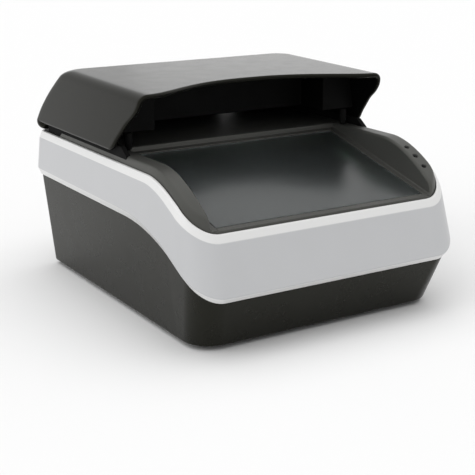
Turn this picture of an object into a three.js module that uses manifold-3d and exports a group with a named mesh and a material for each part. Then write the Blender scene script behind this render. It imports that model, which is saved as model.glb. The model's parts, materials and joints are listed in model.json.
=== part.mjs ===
// Desktop passport scanner with a hinged light hood. Millimetres, +X right, -Y front, +Z up.
// The origin is the centre of the body on the surface that the feet stand on.
import * as THREE from 'three';
import { mergeVertices } from 'three/addons/utils/BufferGeometryUtils.js';
import Module from 'manifold-3d';

const wasm = await Module();
wasm.setup();

// Fits and cutters
const gap = 0.3; // between pieces that touch
const overrun = 12; // how far a cutter reaches past what it cuts
const mergeShare = 0.001; // share of the gap within which corners count as one
const cornerSteps = 7;
const roundSides = 24;
const smallSides = 12;
const baseEdgeSteps = 3;

// Outline of the body at the band's lower crease, where it is widest
const bodyWidth = 169.4;
const bodyDepth = 200;
const frontCorner = 18;
const rearCorner = 9;
const shellWall = 2.5;
const leastRound = 1;

// Lower housing
const footHeight = 2.5;
const baseFrontInset = 13.5;
const baseSideInset = 8;
const baseRearInset = 4.6;
const baseCorner = 15;
const baseRearCorner = 6;
const baseEdgeRound = 1.8;
const plateThickness = 2.5;
const flangeWidth = 11;
const flangeThickness = 2.5;

// Silver band round the body
const bandWall = 2.4;
const lipFrontInset = 2.4;
const lipSideInset = 2.6;
const lipRearInset = 1.1;
const lipDrop = 4.7;
const lipDropFront = 3;
const lipReveal = 0.5;
const upperFrontInset = 7.6;
const upperSideInset = 1.5;
const upperRearInset = 1;
const bevelInset = 1.7;
const bevelHeight = 4.1;
const bandTopFlat = 1.5;
const tongueHeight = 3;
const tongueInset = 1.2;

// Rows of points along the sides
const firstRowInset = 34; // from the body's front
const rowPitch = 3.7;
const rowCount = 8;
const levelShares = [0.18, 0.45, 0.72];

// Heights of the band's two flowing lines: level behind, falling to the front
const creaseHeight = 62;
const creaseFall = 29.8;
const creaseRun = 80;
const bandRise = 22.4; // from the crease to the band's top, behind
const edgeHeight = creaseHeight + bandRise;
const edgeFall = 22.4;
const edgeRun = 47;
const edgeCurvePower = 1.8;

// Top deck and its document recess
const shoulderWidth = 4.5;
const shoulderRise = 4;
const skirtDepth = 8;
const hingeWellMargin = 3; // in front of the hinge brackets
const hingeWellRamp = 4;
const cheekWidth = 15.7; // from the body's side to the recess
const recessWidth = bodyWidth - 2 * cheekWidth;
const recessTilt = THREE.MathUtils.degToRad(14);
const recessFrontLift = 1.2;
const recessFloor = 6;
const recessWall = 2.5;

// Document glass, seal and antenna frame
const glassSideMargin = 4; // of deck floor beside the glass
const glassMargin = 3.84; // of deck floor in front of it and behind it
const glassWidth = recessWidth - 2 * glassSideMargin;
const glassLength = 86;
const glassThickness = 3;
const glassLedge = 3;
const gasketThickness = 0.8;
const antennaThickness = 1.2;
const antennaRim = 6;

// Dark optic box below the glass, with its camera, mirror and lamps
const opticWall = 2;
const opticSideInset = 2.5; // from the glass's edge
const opticWidth = glassWidth - 2 * opticSideInset;
const opticFloor = 17;
const opticLength = 123.7;
const opticShoulderShare = 0.833; // of the box's height at its front
const mirrorSideInset = 16.5;
const mirrorWidth = opticWidth - 2 * mirrorSideInset;
const mirrorLengthShare = 1.16; // of the box's height at its front
const mirrorThickness = 2;
const mirrorTilt = THREE.MathUtils.degToRad(52);
const cameraBoardSize = 30;
const boardThickness = 1.6;
const barrelRadius = 8;
const barrelLength = 16;
const lensRadius = 5.5;
const lensThickness = 3;
const lampBarWidth = 6;
const lampBarEndInset = 13;
const lampBarLength = glassLength - 2 * lampBarEndInset;
const lampBarThickness = 1.6;

// Main board and sockets
const boardSideInset = 28.7; // from the body's side
const boardWidth = bodyWidth - 2 * boardSideInset;
const boardLength = 118;
const boardHeight = 10; // of the board's underside
const postRadius = 3.5;
const postInset = 8;
const usbWidth = 12;
const usbHeight = 11;
const usbDepth = 16;
const usbMouthWidth = 8.6;
const usbMouthHeight = 7.8;
const usbMouthDepth = 9;
const usbPlace = 24;
const jackWidth = 9;
const jackHeight = 11;
const jackDepth = 14;
const jackBore = 3.2;
const jackBoreDepth = 9.5;
const jackPlace = -16;
const socketClearance = 0.4;

// Screws
const screwRadius = 1.4;
const screwHead = 2.6;
const screwHeadHeight = 1.5;
const screwLength = 8;
const screwRow = 34; // from the body's ends to the bottom screws

// Feet
const footRadius = 7;
const footInsetX = 17;
const footInsetY = 20;

// Status lights on the right cheek
const lightRadius = 1.25;
const lightLength = 5;
const lightSideInset = 11.4; // from the body's side
const lightFrontInset = 23.5; // from the body's front to the first light
const lightPitch = 7.4;
const lightDome = 0.4;
const lightBoardWidth = 2.6;

// Hood
const hoodSideInset = 1.7; // from the body's side
const hoodSideLean = 5.5; // of each side wall between its lower edge and the top
const hoodBottomWidth = bodyWidth - 2 * hoodSideInset;
const hoodTopWidth = hoodBottomWidth - 2 * hoodSideLean;
const hoodClearance = 5.6; // from the band's top to the side walls' lower edge
const hoodHeight = 32.9;
const hoodSkirtHeight = edgeHeight + hoodClearance;
const hoodTopHeight = hoodSkirtHeight + hoodHeight;
const hoodTopFall = 0.016; // fall of the top towards the front, as a slope
const hoodWall = 2.6;
const hoodRound = 4.5;
const hoodRearInset = 1; // from the body's rear
const hoodRearReach = bodyDepth / 2 - hoodRearInset;
const hoodRearLean = 31;
const hoodRearPower = 1.45;
const hoodFrontInset = 67.6; // from the body's front
const hoodFront = -bodyDepth / 2 + hoodFrontInset;
const hoodLipDepth = 22.4; // how far the front lip curves back in the middle
const lipPowers = [2.5, 1.8]; // of the lip's curve, near the middle and near the corners
const hoodCorner = 5;
const hoodTopCorner = 7;

// Raked front edge of the hood's side walls: height and how far behind the front, as shares
const rakeHeightShares = [1, 0.9, 0.78, 0.64, 0.5, 0.36, 0.2, 0.06, 0];
const rakeReachShares = [0, 0.04, 0.1, 0.26, 0.5, 0.68, 0.88, 1.03, 1.18];
const rakeDepth = 24;

// Hood hinge
const hingeRadius = 5;
const hingeHeight = 5.4; // of its axis above the band's top
const hingeSideInset = 33; // from the hood's side to the middle of a hinge
const hingePlace = hoodBottomWidth / 2 - hingeSideInset;
const hingeEarWidth = 12;
const knuckleWidth = 8;
const pinRadius = 1.5;
const hingeRelief = 3;
const hingeFootReach = 16;
const hingeFootThickness = 2.4;

// Black liner inside the hood
const linerThickness = 2;
const linerFrontInset = 26.7; // from the hood's front
const linerFront = hoodFront + linerFrontInset;
const linerCheekWidth = 25.4; // from the hood's side to the pocket
const pocketHalfWidth = hoodBottomWidth / 2 - linerCheekWidth;
const pocketDepth = 22.7;
const linerLift = 8.3; // above the side walls' lower edge
const linerBottom = hoodSkirtHeight + linerLift;
const linerTabWidth = 12;
const linerTabReach = 9;
const linerTabShare = 0.52; // of the hood's height
const linerTabHeight = hoodSkirtHeight + hoodHeight * linerTabShare;
const linerBossRadius = 3.5;
const linerTabInset = 19.6; // from the pocket's side
const linerTabPlace = pocketHalfWidth - linerTabInset;
const linerScrewShare = 0.6; // of the height between the tab and the hood's top wall
const linerScrewLength = (hoodTopHeight - hoodWall - linerTabHeight) * linerScrewShare;
const bumperRadius = 2;

// Soft strips on the deck that keep light out below the hood's side walls
const sealWidth = 2.7;
const sealSideInset = 5.4; // from the body's side
const sealHeight = 8.1; // above the band's top
const sealFrontInset = 12; // in front of the liner
const sealSlope = 6;
const sealRearInset = 2.7; // from the hood's hinge roll

// Finishes
const looks = {
  darkHousing: { color: 0x44453f, roughness: 0.5, metalness: 0 },
  silver: { color: 0xc3c5c6, roughness: 0.35, metalness: 0.2 },
  glass: { color: 0x2b3436, roughness: 0.05, metalness: 0 },
  rubber: { color: 0x18181a, roughness: 0.9, metalness: 0 },
  black: { color: 0x101110, roughness: 0.7, metalness: 0 },
  board: { color: 0x1f5a34, roughness: 0.5, metalness: 0 },
  steel: { color: 0xa6a8aa, roughness: 0.3, metalness: 1 },
  mirror: { color: 0xd8dcdf, roughness: 0.05, metalness: 1 },
  lamp: { color: 0xe8e6da, roughness: 0.4, metalness: 0 },
  light: { color: 0x232622, roughness: 0.25, metalness: 0 },
};

const scanner = new THREE.Group();

// Solids and meshes

function solid(geometry) {
  geometry.deleteAttribute('normal');
  geometry.deleteAttribute('uv');
  const merged = mergeVertices(geometry, gap * mergeShare);
  const vertProperties = new Float32Array(merged.attributes.position.array);
  const triVerts = new Uint32Array(merged.index.array);
  return new wasm.Manifold(new wasm.Mesh({ numProp: 3, vertProperties, triVerts }));
}

function geometryOf(manifold) {
  const { vertProperties, triVerts } = manifold.getMesh();
  const geometry = new THREE.BufferGeometry();
  geometry.setAttribute('position', new THREE.BufferAttribute(vertProperties, 3));
  geometry.setIndex(new THREE.BufferAttribute(triVerts, 1));
  return geometry;
}

function addPiece(name, manifold, look, parent = scanner) {
  const geometry = geometryOf(manifold);
  geometry.computeVertexNormals();
  const mesh = new THREE.Mesh(geometry, new THREE.MeshStandardMaterial(looks[look]));
  mesh.name = name;
  parent.add(mesh);
  return mesh;
}

function box([x0, x1], [y0, y1], [z0, z1]) {
  const geometry = new THREE.BoxGeometry(x1 - x0, y1 - y0, z1 - z0);
  geometry.translate((x0 + x1) / 2, (y0 + y1) / 2, (z0 + z1) / 2);
  return geometry;
}

// A disc's cylinder along X, Y or Z, from one end to the other
function rod(axis, radius, [u, v], [from, to], sides = roundSides) {
  const geometry = new THREE.CylinderGeometry(radius, radius, to - from, sides);
  geometry.translate(0, (from + to) / 2, 0);
  if (axis === 'x') {
    geometry.rotateZ(-Math.PI / 2);
    geometry.translate(0, u, v);
  } else if (axis === 'z') {
    geometry.rotateX(Math.PI / 2);
    geometry.translate(u, v, 0);
  } else {
    geometry.translate(u, 0, v);
  }
  return geometry;
}

// A side view outline of [y, z] points, extruded along X
function sideSlab(points, [x0, x1]) {
  const shape = new THREE.Shape(points.map(([y, z]) => new THREE.Vector2(y, z)));
  const geometry = new THREE.ExtrudeGeometry(shape, { depth: x1 - x0, bevelEnabled: false });
  const basis = new THREE.Matrix4().makeBasis(
    new THREE.Vector3(0, 1, 0), new THREE.Vector3(0, 0, 1), new THREE.Vector3(1, 0, 0));
  geometry.applyMatrix4(basis);
  geometry.translate(x0, 0, 0);
  return geometry;
}

// A plan outline of [x, y] points, extruded along Z
function planSlab(points, [z0, z1]) {
  const shape = new THREE.Shape(points.map(([x, y]) => new THREE.Vector2(x, y)));
  const geometry = new THREE.ExtrudeGeometry(shape, { depth: z1 - z0, bevelEnabled: false });
  geometry.translate(0, 0, z0);
  return geometry;
}

// Rows of points along the body's sides: close together where the band falls, and at the hinge well
const wellStart = hoodRearReach - 2 * hingeRadius - hingeFootReach - hingeWellMargin - hingeWellRamp;
const fallRows = Array.from({ length: rowCount }, (_, i) =>
  -bodyDepth / 2 + firstRowInset + i * rowPitch);
const lastFallRow = fallRows[rowCount - 1];
const levelRows = levelShares.map((share) => lastFallRow + (wellStart - lastFallRow) * share);
const bodyRows = [...fallRows, ...levelRows, wellStart, wellStart + hingeWellRamp];

// Rounded rectangle in plan as a ring of [x, y]: up the left side, then down the right side
function planRing({ half, front, rear, frontRound, rearRound, rows = bodyRows }) {
  const left = [];
  for (let i = 0; i <= cornerSteps; i += 1) {
    const angle = Math.PI * (1.5 - 0.5 * i / cornerSteps);
    left.push([-half + frontRound + frontRound * Math.cos(angle),
      front + frontRound + frontRound * Math.sin(angle)]);
  }
  for (const y of rows) {
    left.push([-half, y]);
  }
  for (let i = 0; i <= cornerSteps; i += 1) {
    const angle = Math.PI * (1 - 0.5 * i / cornerSteps);
    left.push([-half + rearRound + rearRound * Math.cos(angle),
      rear - rearRound + rearRound * Math.sin(angle)]);
  }
  const right = left.map(([x, y]) => [-x, y]).reverse();
  return [...left, ...right];
}

const grow = (inset, by) => inset.map((v) => v + by);

// The body's outline drawn in from its widest line
function insetRing(frontInset, sideInset, rearInset, frontRound, rearRound) {
  return planRing({
    half: bodyWidth / 2 - sideInset,
    front: -bodyDepth / 2 + frontInset,
    rear: bodyDepth / 2 - rearInset,
    frontRound,
    rearRound,
  });
}

// Gives a plan ring its height; the height may follow another ring's y
const raised = (ring, height, along = ring) => ring.map(([x, y], i) => [x, y, height(along[i][1], i)]);

// Quads between neighbouring rings; a closed sleeve, or a block with both ends filled
function loft(rings, closed) {
  const count = rings[0].length;
  const position = rings.flat(2);
  const index = [];
  const at = (ring, i) => (ring % rings.length) * count + (i % count);
  const quad = (a, b, c, d) => index.push(a, b, c, a, c, d);
  const spans = closed ? rings.length : rings.length - 1;
  for (let k = 0; k < spans; k += 1) {
    for (let i = 0; i < count; i += 1) {
      quad(at(k, i), at(k + 1, i), at(k + 1, i + 1), at(k, i + 1));
    }
  }
  if (!closed) {
    for (let i = 0; i < count / 2 - 1; i += 1) {
      const j = count - 1 - i;
      quad(at(0, i), at(0, i + 1), at(0, j - 1), at(0, j));
      const top = rings.length - 1;
      quad(at(top, i), at(top, j), at(top, j - 1), at(top, i + 1));
    }
  }
  const geometry = new THREE.BufferGeometry();
  geometry.setAttribute('position', new THREE.Float32BufferAttribute(position, 3));
  geometry.setIndex(index);
  return solid(geometry);
}

const creaseAt = (y) => {
  const share = Math.max(0, 1 - (y + bodyDepth / 2) / creaseRun);
  return creaseHeight - creaseFall * share ** 2;
};

const bandTopFront = -bodyDepth / 2 + upperFrontInset + bevelInset;
const edgeAt = (y) => {
  const share = Math.min(1, Math.max(0, 1 - (y - bandTopFront) / edgeRun));
  return edgeHeight - edgeFall * share ** edgeCurvePower;
};

// Band

const lipInset = [lipFrontInset, lipSideInset, lipRearInset];
const lipRing = insetRing(...lipInset, baseCorner, baseRearCorner);
const creaseRing = insetRing(0, 0, 0, frontCorner, rearCorner);
const upperInset = [upperFrontInset, upperSideInset, upperRearInset];
const bandTop = grow(upperInset, bevelInset);
const upperRing = insetRing(...upperInset, frontCorner, rearCorner);
const topRing = insetRing(...bandTop, frontCorner - bevelInset / 2, rearCorner - bevelInset);
const lipAt = (y) => {
  const fallShare = (creaseHeight - creaseAt(y)) / creaseFall;
  return creaseAt(y) - lipDrop + (lipDrop - lipDropFront) * fallShare;
};

function makeBand() {
  const inner = (inset, by, round) =>
    insetRing(...grow(inset, by), round, rearCorner - bevelInset - bandWall);
  const topInner = inner(bandTop, bandTopFlat, frontCorner - 2 * bevelInset);
  const upperInner = inner(upperInset, bandWall + bevelInset / 2, frontCorner - 2 * bevelInset);
  const lipInner = inner(lipInset, bandWall, baseCorner - bandWall);
  return loft([
    raised(lipRing, lipAt, creaseRing),
    raised(creaseRing, creaseAt),
    raised(upperRing, (y) => edgeAt(y) - bevelHeight, topRing),
    raised(topRing, edgeAt),
    raised(topInner, edgeAt, topRing),
    raised(upperInner, (y) => edgeAt(y) - bevelHeight - bandWall, topRing),
    raised(lipInner, lipAt, creaseRing),
  ], true);
}

// Lower housing: a wall with a flange that the bottom plate is screwed to

const baseInset = [baseFrontInset, baseSideInset, baseRearInset];
const flangeTop = footHeight + plateThickness + gap + flangeThickness;

function screwPlaces() {
  const x = bodyWidth / 2 - baseSideInset - flangeWidth / 2 - shellWall / 2;
  const y = bodyDepth / 2 - screwRow;
  return [[-x, -y], [x, -y], [-x, y], [x, y]];
}

function rearWallAt(z) {
  const bottom = bodyDepth / 2 - baseRearInset;
  const top = bodyDepth / 2 - lipRearInset - lipReveal;
  const share = (z - footHeight) / (creaseHeight - lipDrop - footHeight);
  return bottom + (top - bottom) * share;
}

function makeBaseShell() {
  const corner = (by) => [baseCorner - by, baseRearCorner - by];
  const ring = (inset, by, round) => insetRing(...grow(inset, by), ...corner(round));
  const outerTop = ring(lipInset, lipReveal, 0);
  const stepIn = ring(lipInset, bandWall + tongueInset, bandWall);
  const innerTop = ring(lipInset, bandWall + tongueInset + shellWall, bandWall + shellWall);
  const level = (z) => () => z;
  const underLip = (y) => lipAt(y) - gap;
  const tongueTop = (y) => lipAt(y) + tongueHeight;
  const bottomEdge = [];
  for (let i = 0; i <= baseEdgeSteps; i += 1) {
    const angle = Math.PI / 2 * i / baseEdgeSteps;
    const inset = baseEdgeRound * (1 - Math.sin(angle));
    const height = footHeight + baseEdgeRound * (1 - Math.cos(angle));
    bottomEdge.push(raised(ring(baseInset, inset, inset), level(height)));
  }
  let shell = loft([
    ...bottomEdge,
    raised(outerTop, underLip, creaseRing),
    raised(stepIn, underLip, creaseRing),
    raised(stepIn, tongueTop, creaseRing),
    raised(innerTop, tongueTop, creaseRing),
    raised(ring(baseInset, shellWall, shellWall), level(flangeTop)),
    raised(ring(baseInset, flangeWidth, flangeWidth / 2), level(flangeTop)),
    raised(ring(baseInset, flangeWidth, flangeWidth / 2), level(flangeTop - flangeThickness)),
    raised(ring(baseInset, shellWall, shellWall), level(flangeTop - flangeThickness)),
    raised(ring(baseInset, shellWall, shellWall), level(footHeight)),
  ], true);
  for (const [x, y] of screwPlaces()) {
    const hole = rod('z', screwRadius + gap, [x, y], [0, flangeTop + overrun], smallSides);
    shell = shell.subtract(solid(hole));
  }
  const socketFloor = boardHeight + boardThickness + gap - socketClearance;
  const sockets = [[usbPlace, usbWidth, usbHeight], [jackPlace, jackWidth, jackHeight]];
  for (const [place, width, height] of sockets) {
    shell = shell.subtract(solid(box(
      [place - width / 2 - socketClearance, place + width / 2 + socketClearance],
      [bodyDepth / 2 - flangeWidth - baseRearInset - overrun, bodyDepth / 2 + overrun],
      [socketFloor, socketFloor + height + 2 * socketClearance])));
  }
  return shell;
}

// Bottom plate with the board's four posts

function boardPosts() {
  const x = boardWidth / 2 - postInset;
  const rear = boardRear();
  return [[-x, rear - postInset], [x, rear - postInset],
    [-x, rear - boardLength + postInset], [x, rear - boardLength + postInset]];
}

function boardRear() {
  return bodyDepth / 2 - baseRearInset - shellWall - flangeWidth / 2;
}

function makeBottomPlate() {
  const outline = insetRing(...grow(baseInset, shellWall + gap), baseCorner - shellWall - gap,
    baseRearCorner - shellWall - gap);
  const level = (z) => () => z;
  let plate = loft([
    raised(outline, level(footHeight)),
    raised(outline, level(footHeight + plateThickness)),
  ], false);
  for (const [x, y] of boardPosts()) {
    const post = rod('z', postRadius, [x, y], [footHeight + plateThickness / 2, boardHeight - gap]);
    plate = plate.add(solid(post));
    plate = plate.subtract(solid(rod('z', screwRadius + gap, [x, y],
      [footHeight + plateThickness, boardHeight + overrun], smallSides)));
  }
  for (const [x, y] of screwPlaces()) {
    plate = plate.subtract(solid(rod('z', screwRadius + gap, [x, y], [0, boardHeight], smallSides)));
    plate = plate.subtract(solid(rod('z', screwHead + gap, [x, y],
      [0, footHeight + screwHeadHeight], smallSides)));
  }
  return plate;
}

// A pan head screw with its head's seat at z, pointing up or down
function makeScrew(x, y, seat, direction, length = screwLength) {
  const shank = [seat - direction * gap, seat + direction * length].sort((a, b) => a - b);
  const head = [seat - direction * (gap + screwHeadHeight), seat - direction * gap].sort((a, b) => a - b);
  return solid(rod('z', screwRadius, [x, y], shank, smallSides))
    .add(solid(rod('z', screwHead, [x, y], head, smallSides)));
}

// Deck

const deckInset = grow(bandTop, bandTopFlat + gap);
const crownRise = (y) => {
  const share = Math.min(1, Math.max(0, (y - wellStart) / hingeWellRamp));
  return shoulderRise * (1 - share);
};
const deckFront = -bodyDepth / 2 + deckInset[0];
const floorAt = (y) =>
  edgeAt(bandTopFront) + recessFrontLift + (y - deckFront) * Math.tan(recessTilt);
// The step at the rear of the recess, that a document is pushed against
const recessStop = deckFront + (glassLength + 2 * glassMargin) * Math.cos(recessTilt);
const shoulderSteps = 4;

function deckBlock(inset, drop, belowSkirt) {
  const round = (by) => [
    Math.max(frontCorner - 2 * bevelInset - by / 2, leastRound),
    Math.max(rearCorner - 2 * bevelInset - by, leastRound),
  ];
  const outline = insetRing(...grow(deckInset, inset), ...round(inset));
  const rings = [
    raised(outline, (y) => Math.min(edgeAt(y) - skirtDepth, floorAt(y) - recessFloor) - belowSkirt),
    raised(outline, (y) => edgeAt(y) - drop, topRing),
  ];
  for (let i = 1; i <= shoulderSteps; i += 1) {
    const angle = Math.PI / 2 * i / shoulderSteps;
    const by = inset + shoulderWidth * (1 - Math.cos(angle));
    const rise = Math.sin(angle);
    rings.push(raised(insetRing(...grow(deckInset, by), ...round(by)),
      (y) => edgeAt(y) + crownRise(y) * rise - drop));
  }
  return loft(rings, false);
}

function recessOutline(below, behind) {
  const front = -bodyDepth / 2 - overrun;
  const rear = recessStop + behind;
  const top = hoodTopHeight + overrun;
  return [[front, floorAt(front) - below], [rear, floorAt(rear) - below], [rear, top], [front, top]];
}

// The frame of the glass: x right, y up the slope, z out of the glass
const glassCentreY = (deckFront + recessStop) / 2;
const glassMatrix = new THREE.Matrix4()
  .makeTranslation(0, glassCentreY, floorAt(glassCentreY))
  .multiply(new THREE.Matrix4().makeRotationX(recessTilt));
const onGlass = (geometry) => geometry.applyMatrix4(glassMatrix);
const glassBox = (width, length, z0, z1) =>
  onGlass(box([-width / 2, width / 2], [-length / 2, length / 2], [z0, z1]));

// Status lights stand square to the cheek's slope
const lightPlace = bodyWidth / 2 - lightSideInset;
const lightYs = [0, 1, 2].map((i) =>
  -bodyDepth / 2 + lightFrontInset + i * lightPitch * Math.cos(recessTilt));
const cheekAt = (y) => edgeAt(y) + crownRise(y);
const lightSlope = Math.atan2(cheekAt(lightYs[2]) - cheekAt(lightYs[0]), lightYs[2] - lightYs[0]);
const lightMatrix = new THREE.Matrix4()
  .makeTranslation(lightPlace, lightYs[1], cheekAt(lightYs[1]))
  .multiply(new THREE.Matrix4().makeRotationX(lightSlope));
const lightTops = lightYs.map((y) =>
  new THREE.Vector3(lightPlace, y, cheekAt(y)).applyMatrix4(lightMatrix.clone().invert()));

function makeDeck() {
  const half = recessWidth / 2;
  const recess = solid(sideSlab(recessOutline(0, 0), [-half, half]));
  const kept = solid(sideSlab(recessOutline(recessFloor, recessWall),
    [-half - recessWall, half + recessWall]));
  const hollow = deckBlock(shellWall, shellWall, overrun).subtract(kept);
  let deck = deckBlock(0, 0, 0).subtract(recess).subtract(hollow);
  const rebate = glassThickness + gasketThickness + 2 * gap;
  deck = deck.subtract(solid(glassBox(glassWidth + 2 * gap, glassLength + 2 * gap, -rebate, overrun)));
  deck = deck.subtract(solid(glassBox(glassWidth - 2 * glassLedge, glassLength - 2 * glassLedge,
    -recessFloor - overrun, overrun)));
  for (const top of lightTops) {
    const hole = rod('z', lightRadius + gap, [0, top.y], [-overrun, overrun], smallSides);
    deck = deck.subtract(solid(hole.applyMatrix4(lightMatrix)));
  }
  for (const side of [-1, 1]) {
    deck = deck.subtract(solid(rod('z', screwRadius + gap, [side * hingePlace, hingeScrewY],
      [0, hoodTopHeight], smallSides)));
  }
  return deck;
}

function addSeals() {
  const rear = hingeY - hingeRadius - sealRearInset;
  const front = linerFront - sealFrontInset;
  const top = edgeHeight + sealHeight;
  const outline = [[front, edgeHeight], [rear, edgeHeight], [rear, top], [front + sealSlope, top],
    [front, edgeHeight + shoulderRise]];
  const outer = bodyWidth / 2 - sealSideInset;
  for (const [side, word] of [[-1, 'left'], [1, 'right']]) {
    const xs = [side * outer, side * (outer - sealWidth)].sort((a, b) => a - b);
    const strip = solid(sideSlab(outline, xs)).subtract(deckBlock(-gap, -gap, 0));
    addPiece(`light_seal_${word}`, strip, 'rubber');
  }
}

function addGlass() {
  addPiece('document_glass', solid(glassBox(glassWidth, glassLength, -glassThickness, 0)), 'glass');
  const gasketTop = -glassThickness - gap;
  const hole = (depth) => solid(glassBox(glassWidth - 2 * glassLedge, glassLength - 2 * glassLedge,
    -depth - overrun, overrun));
  const gasket = solid(glassBox(glassWidth, glassLength, gasketTop - gasketThickness, gasketTop));
  addPiece('glass_gasket', gasket.subtract(hole(recessFloor)), 'rubber');
  const boardTop = -recessFloor * Math.cos(recessTilt) - gap;
  addPiece('antenna_board', solid(glassBox(glassWidth - glassLedge + antennaRim,
    glassLength - glassLedge, boardTop - antennaThickness, boardTop))
    .subtract(hole(recessFloor)), 'board');
}

// Optic box

const opticDepth = recessFloor * Math.cos(recessTilt) + antennaThickness + 2 * gap;
const opticFront = glassCentreY - (glassLength / 2 - glassLedge / 2) * Math.cos(recessTilt);
const opticRear = glassCentreY + (glassLength / 2 - glassLedge) * Math.cos(recessTilt);
const opticRearReach = opticFront + opticLength;
const opticTopAt = (y) => floorAt(y) - opticDepth / Math.cos(recessTilt);
const opticHeight = opticTopAt(opticFront) - opticFloor;
const opticShoulder = opticFloor + opticHeight * opticShoulderShare;
const mirrorLength = opticHeight * mirrorLengthShare;

function opticOutline(wall, lift) {
  const rear = opticRear - wall;
  return [
    [opticFront + wall, opticFloor + wall],
    [opticRearReach - wall, opticFloor + wall],
    [opticRearReach - wall, opticShoulder - wall],
    [rear, opticShoulder - wall],
    [rear, opticTopAt(rear) + lift],
    [opticFront + wall, opticTopAt(opticFront + wall) + lift],
  ];
}

function makeOpticBox() {
  const half = opticWidth / 2;
  const outer = solid(sideSlab(opticOutline(0, 0), [-half, half]));
  const inner = solid(sideSlab(opticOutline(opticWall, overrun), [-half + opticWall, half - opticWall]));
  return outer.subtract(inner);
}

function addOptics() {
  addPiece('optic_box', makeOpticBox(), 'black');
  const floor = opticFloor + opticWall + gap;

  const mirror = box([-mirrorWidth / 2, mirrorWidth / 2], [0, mirrorLength], [0, mirrorThickness]);
  mirror.rotateX(Math.PI - mirrorTilt);
  mirror.translate(0, opticFront + opticWall + gap + mirrorLength * Math.cos(mirrorTilt)
    + mirrorThickness * Math.sin(mirrorTilt), floor + mirrorThickness * Math.cos(mirrorTilt));
  addPiece('fold_mirror', solid(mirror), 'mirror');

  const boardBack = opticRearReach - opticWall - gap;
  const boardFace = boardBack - boardThickness;
  const middle = (floor + opticShoulder - opticWall) / 2;
  addPiece('camera_board', solid(box([-cameraBoardSize / 2, cameraBoardSize / 2], [boardFace, boardBack],
    [floor, opticShoulder - opticWall - gap])), 'board');
  const barrelEnd = boardFace - gap;
  const mouth = barrelEnd - barrelLength;
  const lensSeat = rod('y', lensRadius + gap, [0, middle], [mouth - overrun, mouth + lensThickness + 2 * gap]);
  const barrel = solid(rod('y', barrelRadius, [0, middle], [mouth, barrelEnd])).subtract(solid(lensSeat));
  addPiece('lens_barrel', barrel, 'black');
  addPiece('camera_lens', solid(rod('y', lensRadius, [0, middle],
    [mouth + gap, mouth + gap + lensThickness])), 'glass');

  for (const [side, word] of [[-1, 'left'], [1, 'right']]) {
    const wallFace = side * (opticWidth / 2 - opticWall - gap);
    const xs = [wallFace, wallFace - side * lampBarThickness].sort((a, b) => a - b);
    const top = -opticDepth - lampBarWidth / 2;
    const bar = onGlass(box(xs, [-lampBarLength / 2, lampBarLength / 2], [top - lampBarWidth, top]));
    addPiece(`lamp_bar_${word}`, solid(bar), 'lamp');
  }
}

// Main board and its two sockets

function addElectronics() {
  const rear = boardRear();
  const half = boardWidth / 2;
  const boardTop = boardHeight + boardThickness;
  let board = solid(box([-half, half], [rear - boardLength, rear], [boardHeight, boardTop]));
  for (const [x, y] of boardPosts()) {
    const hole = rod('z', screwRadius + gap, [x, y], [0, boardTop + overrun], smallSides);
    board = board.subtract(solid(hole));
  }
  addPiece('main_board', board, 'board');

  const floor = boardHeight + boardThickness + gap;
  const face = rearWallAt(floor);
  const usb = solid(box([usbPlace - usbWidth / 2, usbPlace + usbWidth / 2], [face - usbDepth, face],
    [floor, floor + usbHeight]));
  const usbMiddle = floor + usbHeight / 2;
  const usbMouth = solid(box([usbPlace - usbMouthWidth / 2, usbPlace + usbMouthWidth / 2],
    [face - usbMouthDepth, face + overrun],
    [usbMiddle - usbMouthHeight / 2, usbMiddle + usbMouthHeight / 2]));
  addPiece('usb_socket', usb.subtract(usbMouth), 'steel');
  const jack = solid(box([jackPlace - jackWidth / 2, jackPlace + jackWidth / 2], [face - jackDepth, face],
    [floor, floor + jackHeight]));
  const bore = solid(rod('y', jackBore, [jackPlace, floor + jackHeight / 2],
    [face - jackBoreDepth, face + overrun]));
  addPiece('power_socket', jack.subtract(bore), 'black');

  boardPosts().forEach(([x, y], i) => {
    addPiece(`board_screw_${i + 1}`, makeBoardScrew(x, y), 'steel');
  });
}

function makeBoardScrew(x, y) {
  const seat = boardHeight + boardThickness + gap;
  const tip = footHeight + plateThickness + gap;
  return solid(rod('z', screwRadius, [x, y], [tip, seat], smallSides))
    .add(solid(rod('z', screwHead, [x, y], [seat, seat + screwHeadHeight], smallSides)));
}

// Status lights

function addLights() {
  lightTops.forEach((top, i) => {
    const lens = rod('z', lightRadius, [0, top.y], [-lightLength, top.z + lightDome], smallSides);
    addPiece(`status_light_${i + 1}`, solid(lens.applyMatrix4(lightMatrix)), 'light');
  });
  const reach = lightPitch + lightRadius * 2;
  const board = box([-lightBoardWidth / 2, lightBoardWidth / 2],
    [-reach, reach], [-lightLength - gap - boardThickness, -lightLength - gap]);
  addPiece('light_board', solid(board.applyMatrix4(lightMatrix)), 'board');
}

// Feet

function addFeet() {
  const x = bodyWidth / 2 - baseSideInset - footInsetX;
  const rows = [['front', -bodyDepth / 2 + baseFrontInset + footInsetY],
    ['rear', bodyDepth / 2 - baseRearInset - footInsetY]];
  for (const [row, y] of rows) {
    for (const [side, word] of [[-1, 'left'], [1, 'right']]) {
      const foot = rod('z', footRadius, [side * x, y], [0, footHeight - gap]);
      addPiece(`foot_${row}_${word}`, solid(foot), 'rubber');
    }
  }
}

// Hood

const hingeY = hoodRearReach - hingeRadius;
const hingeZ = edgeHeight + hingeHeight;
const hingeScrewY = hingeY - hingeRadius - hingeFootReach / 2;

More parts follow.
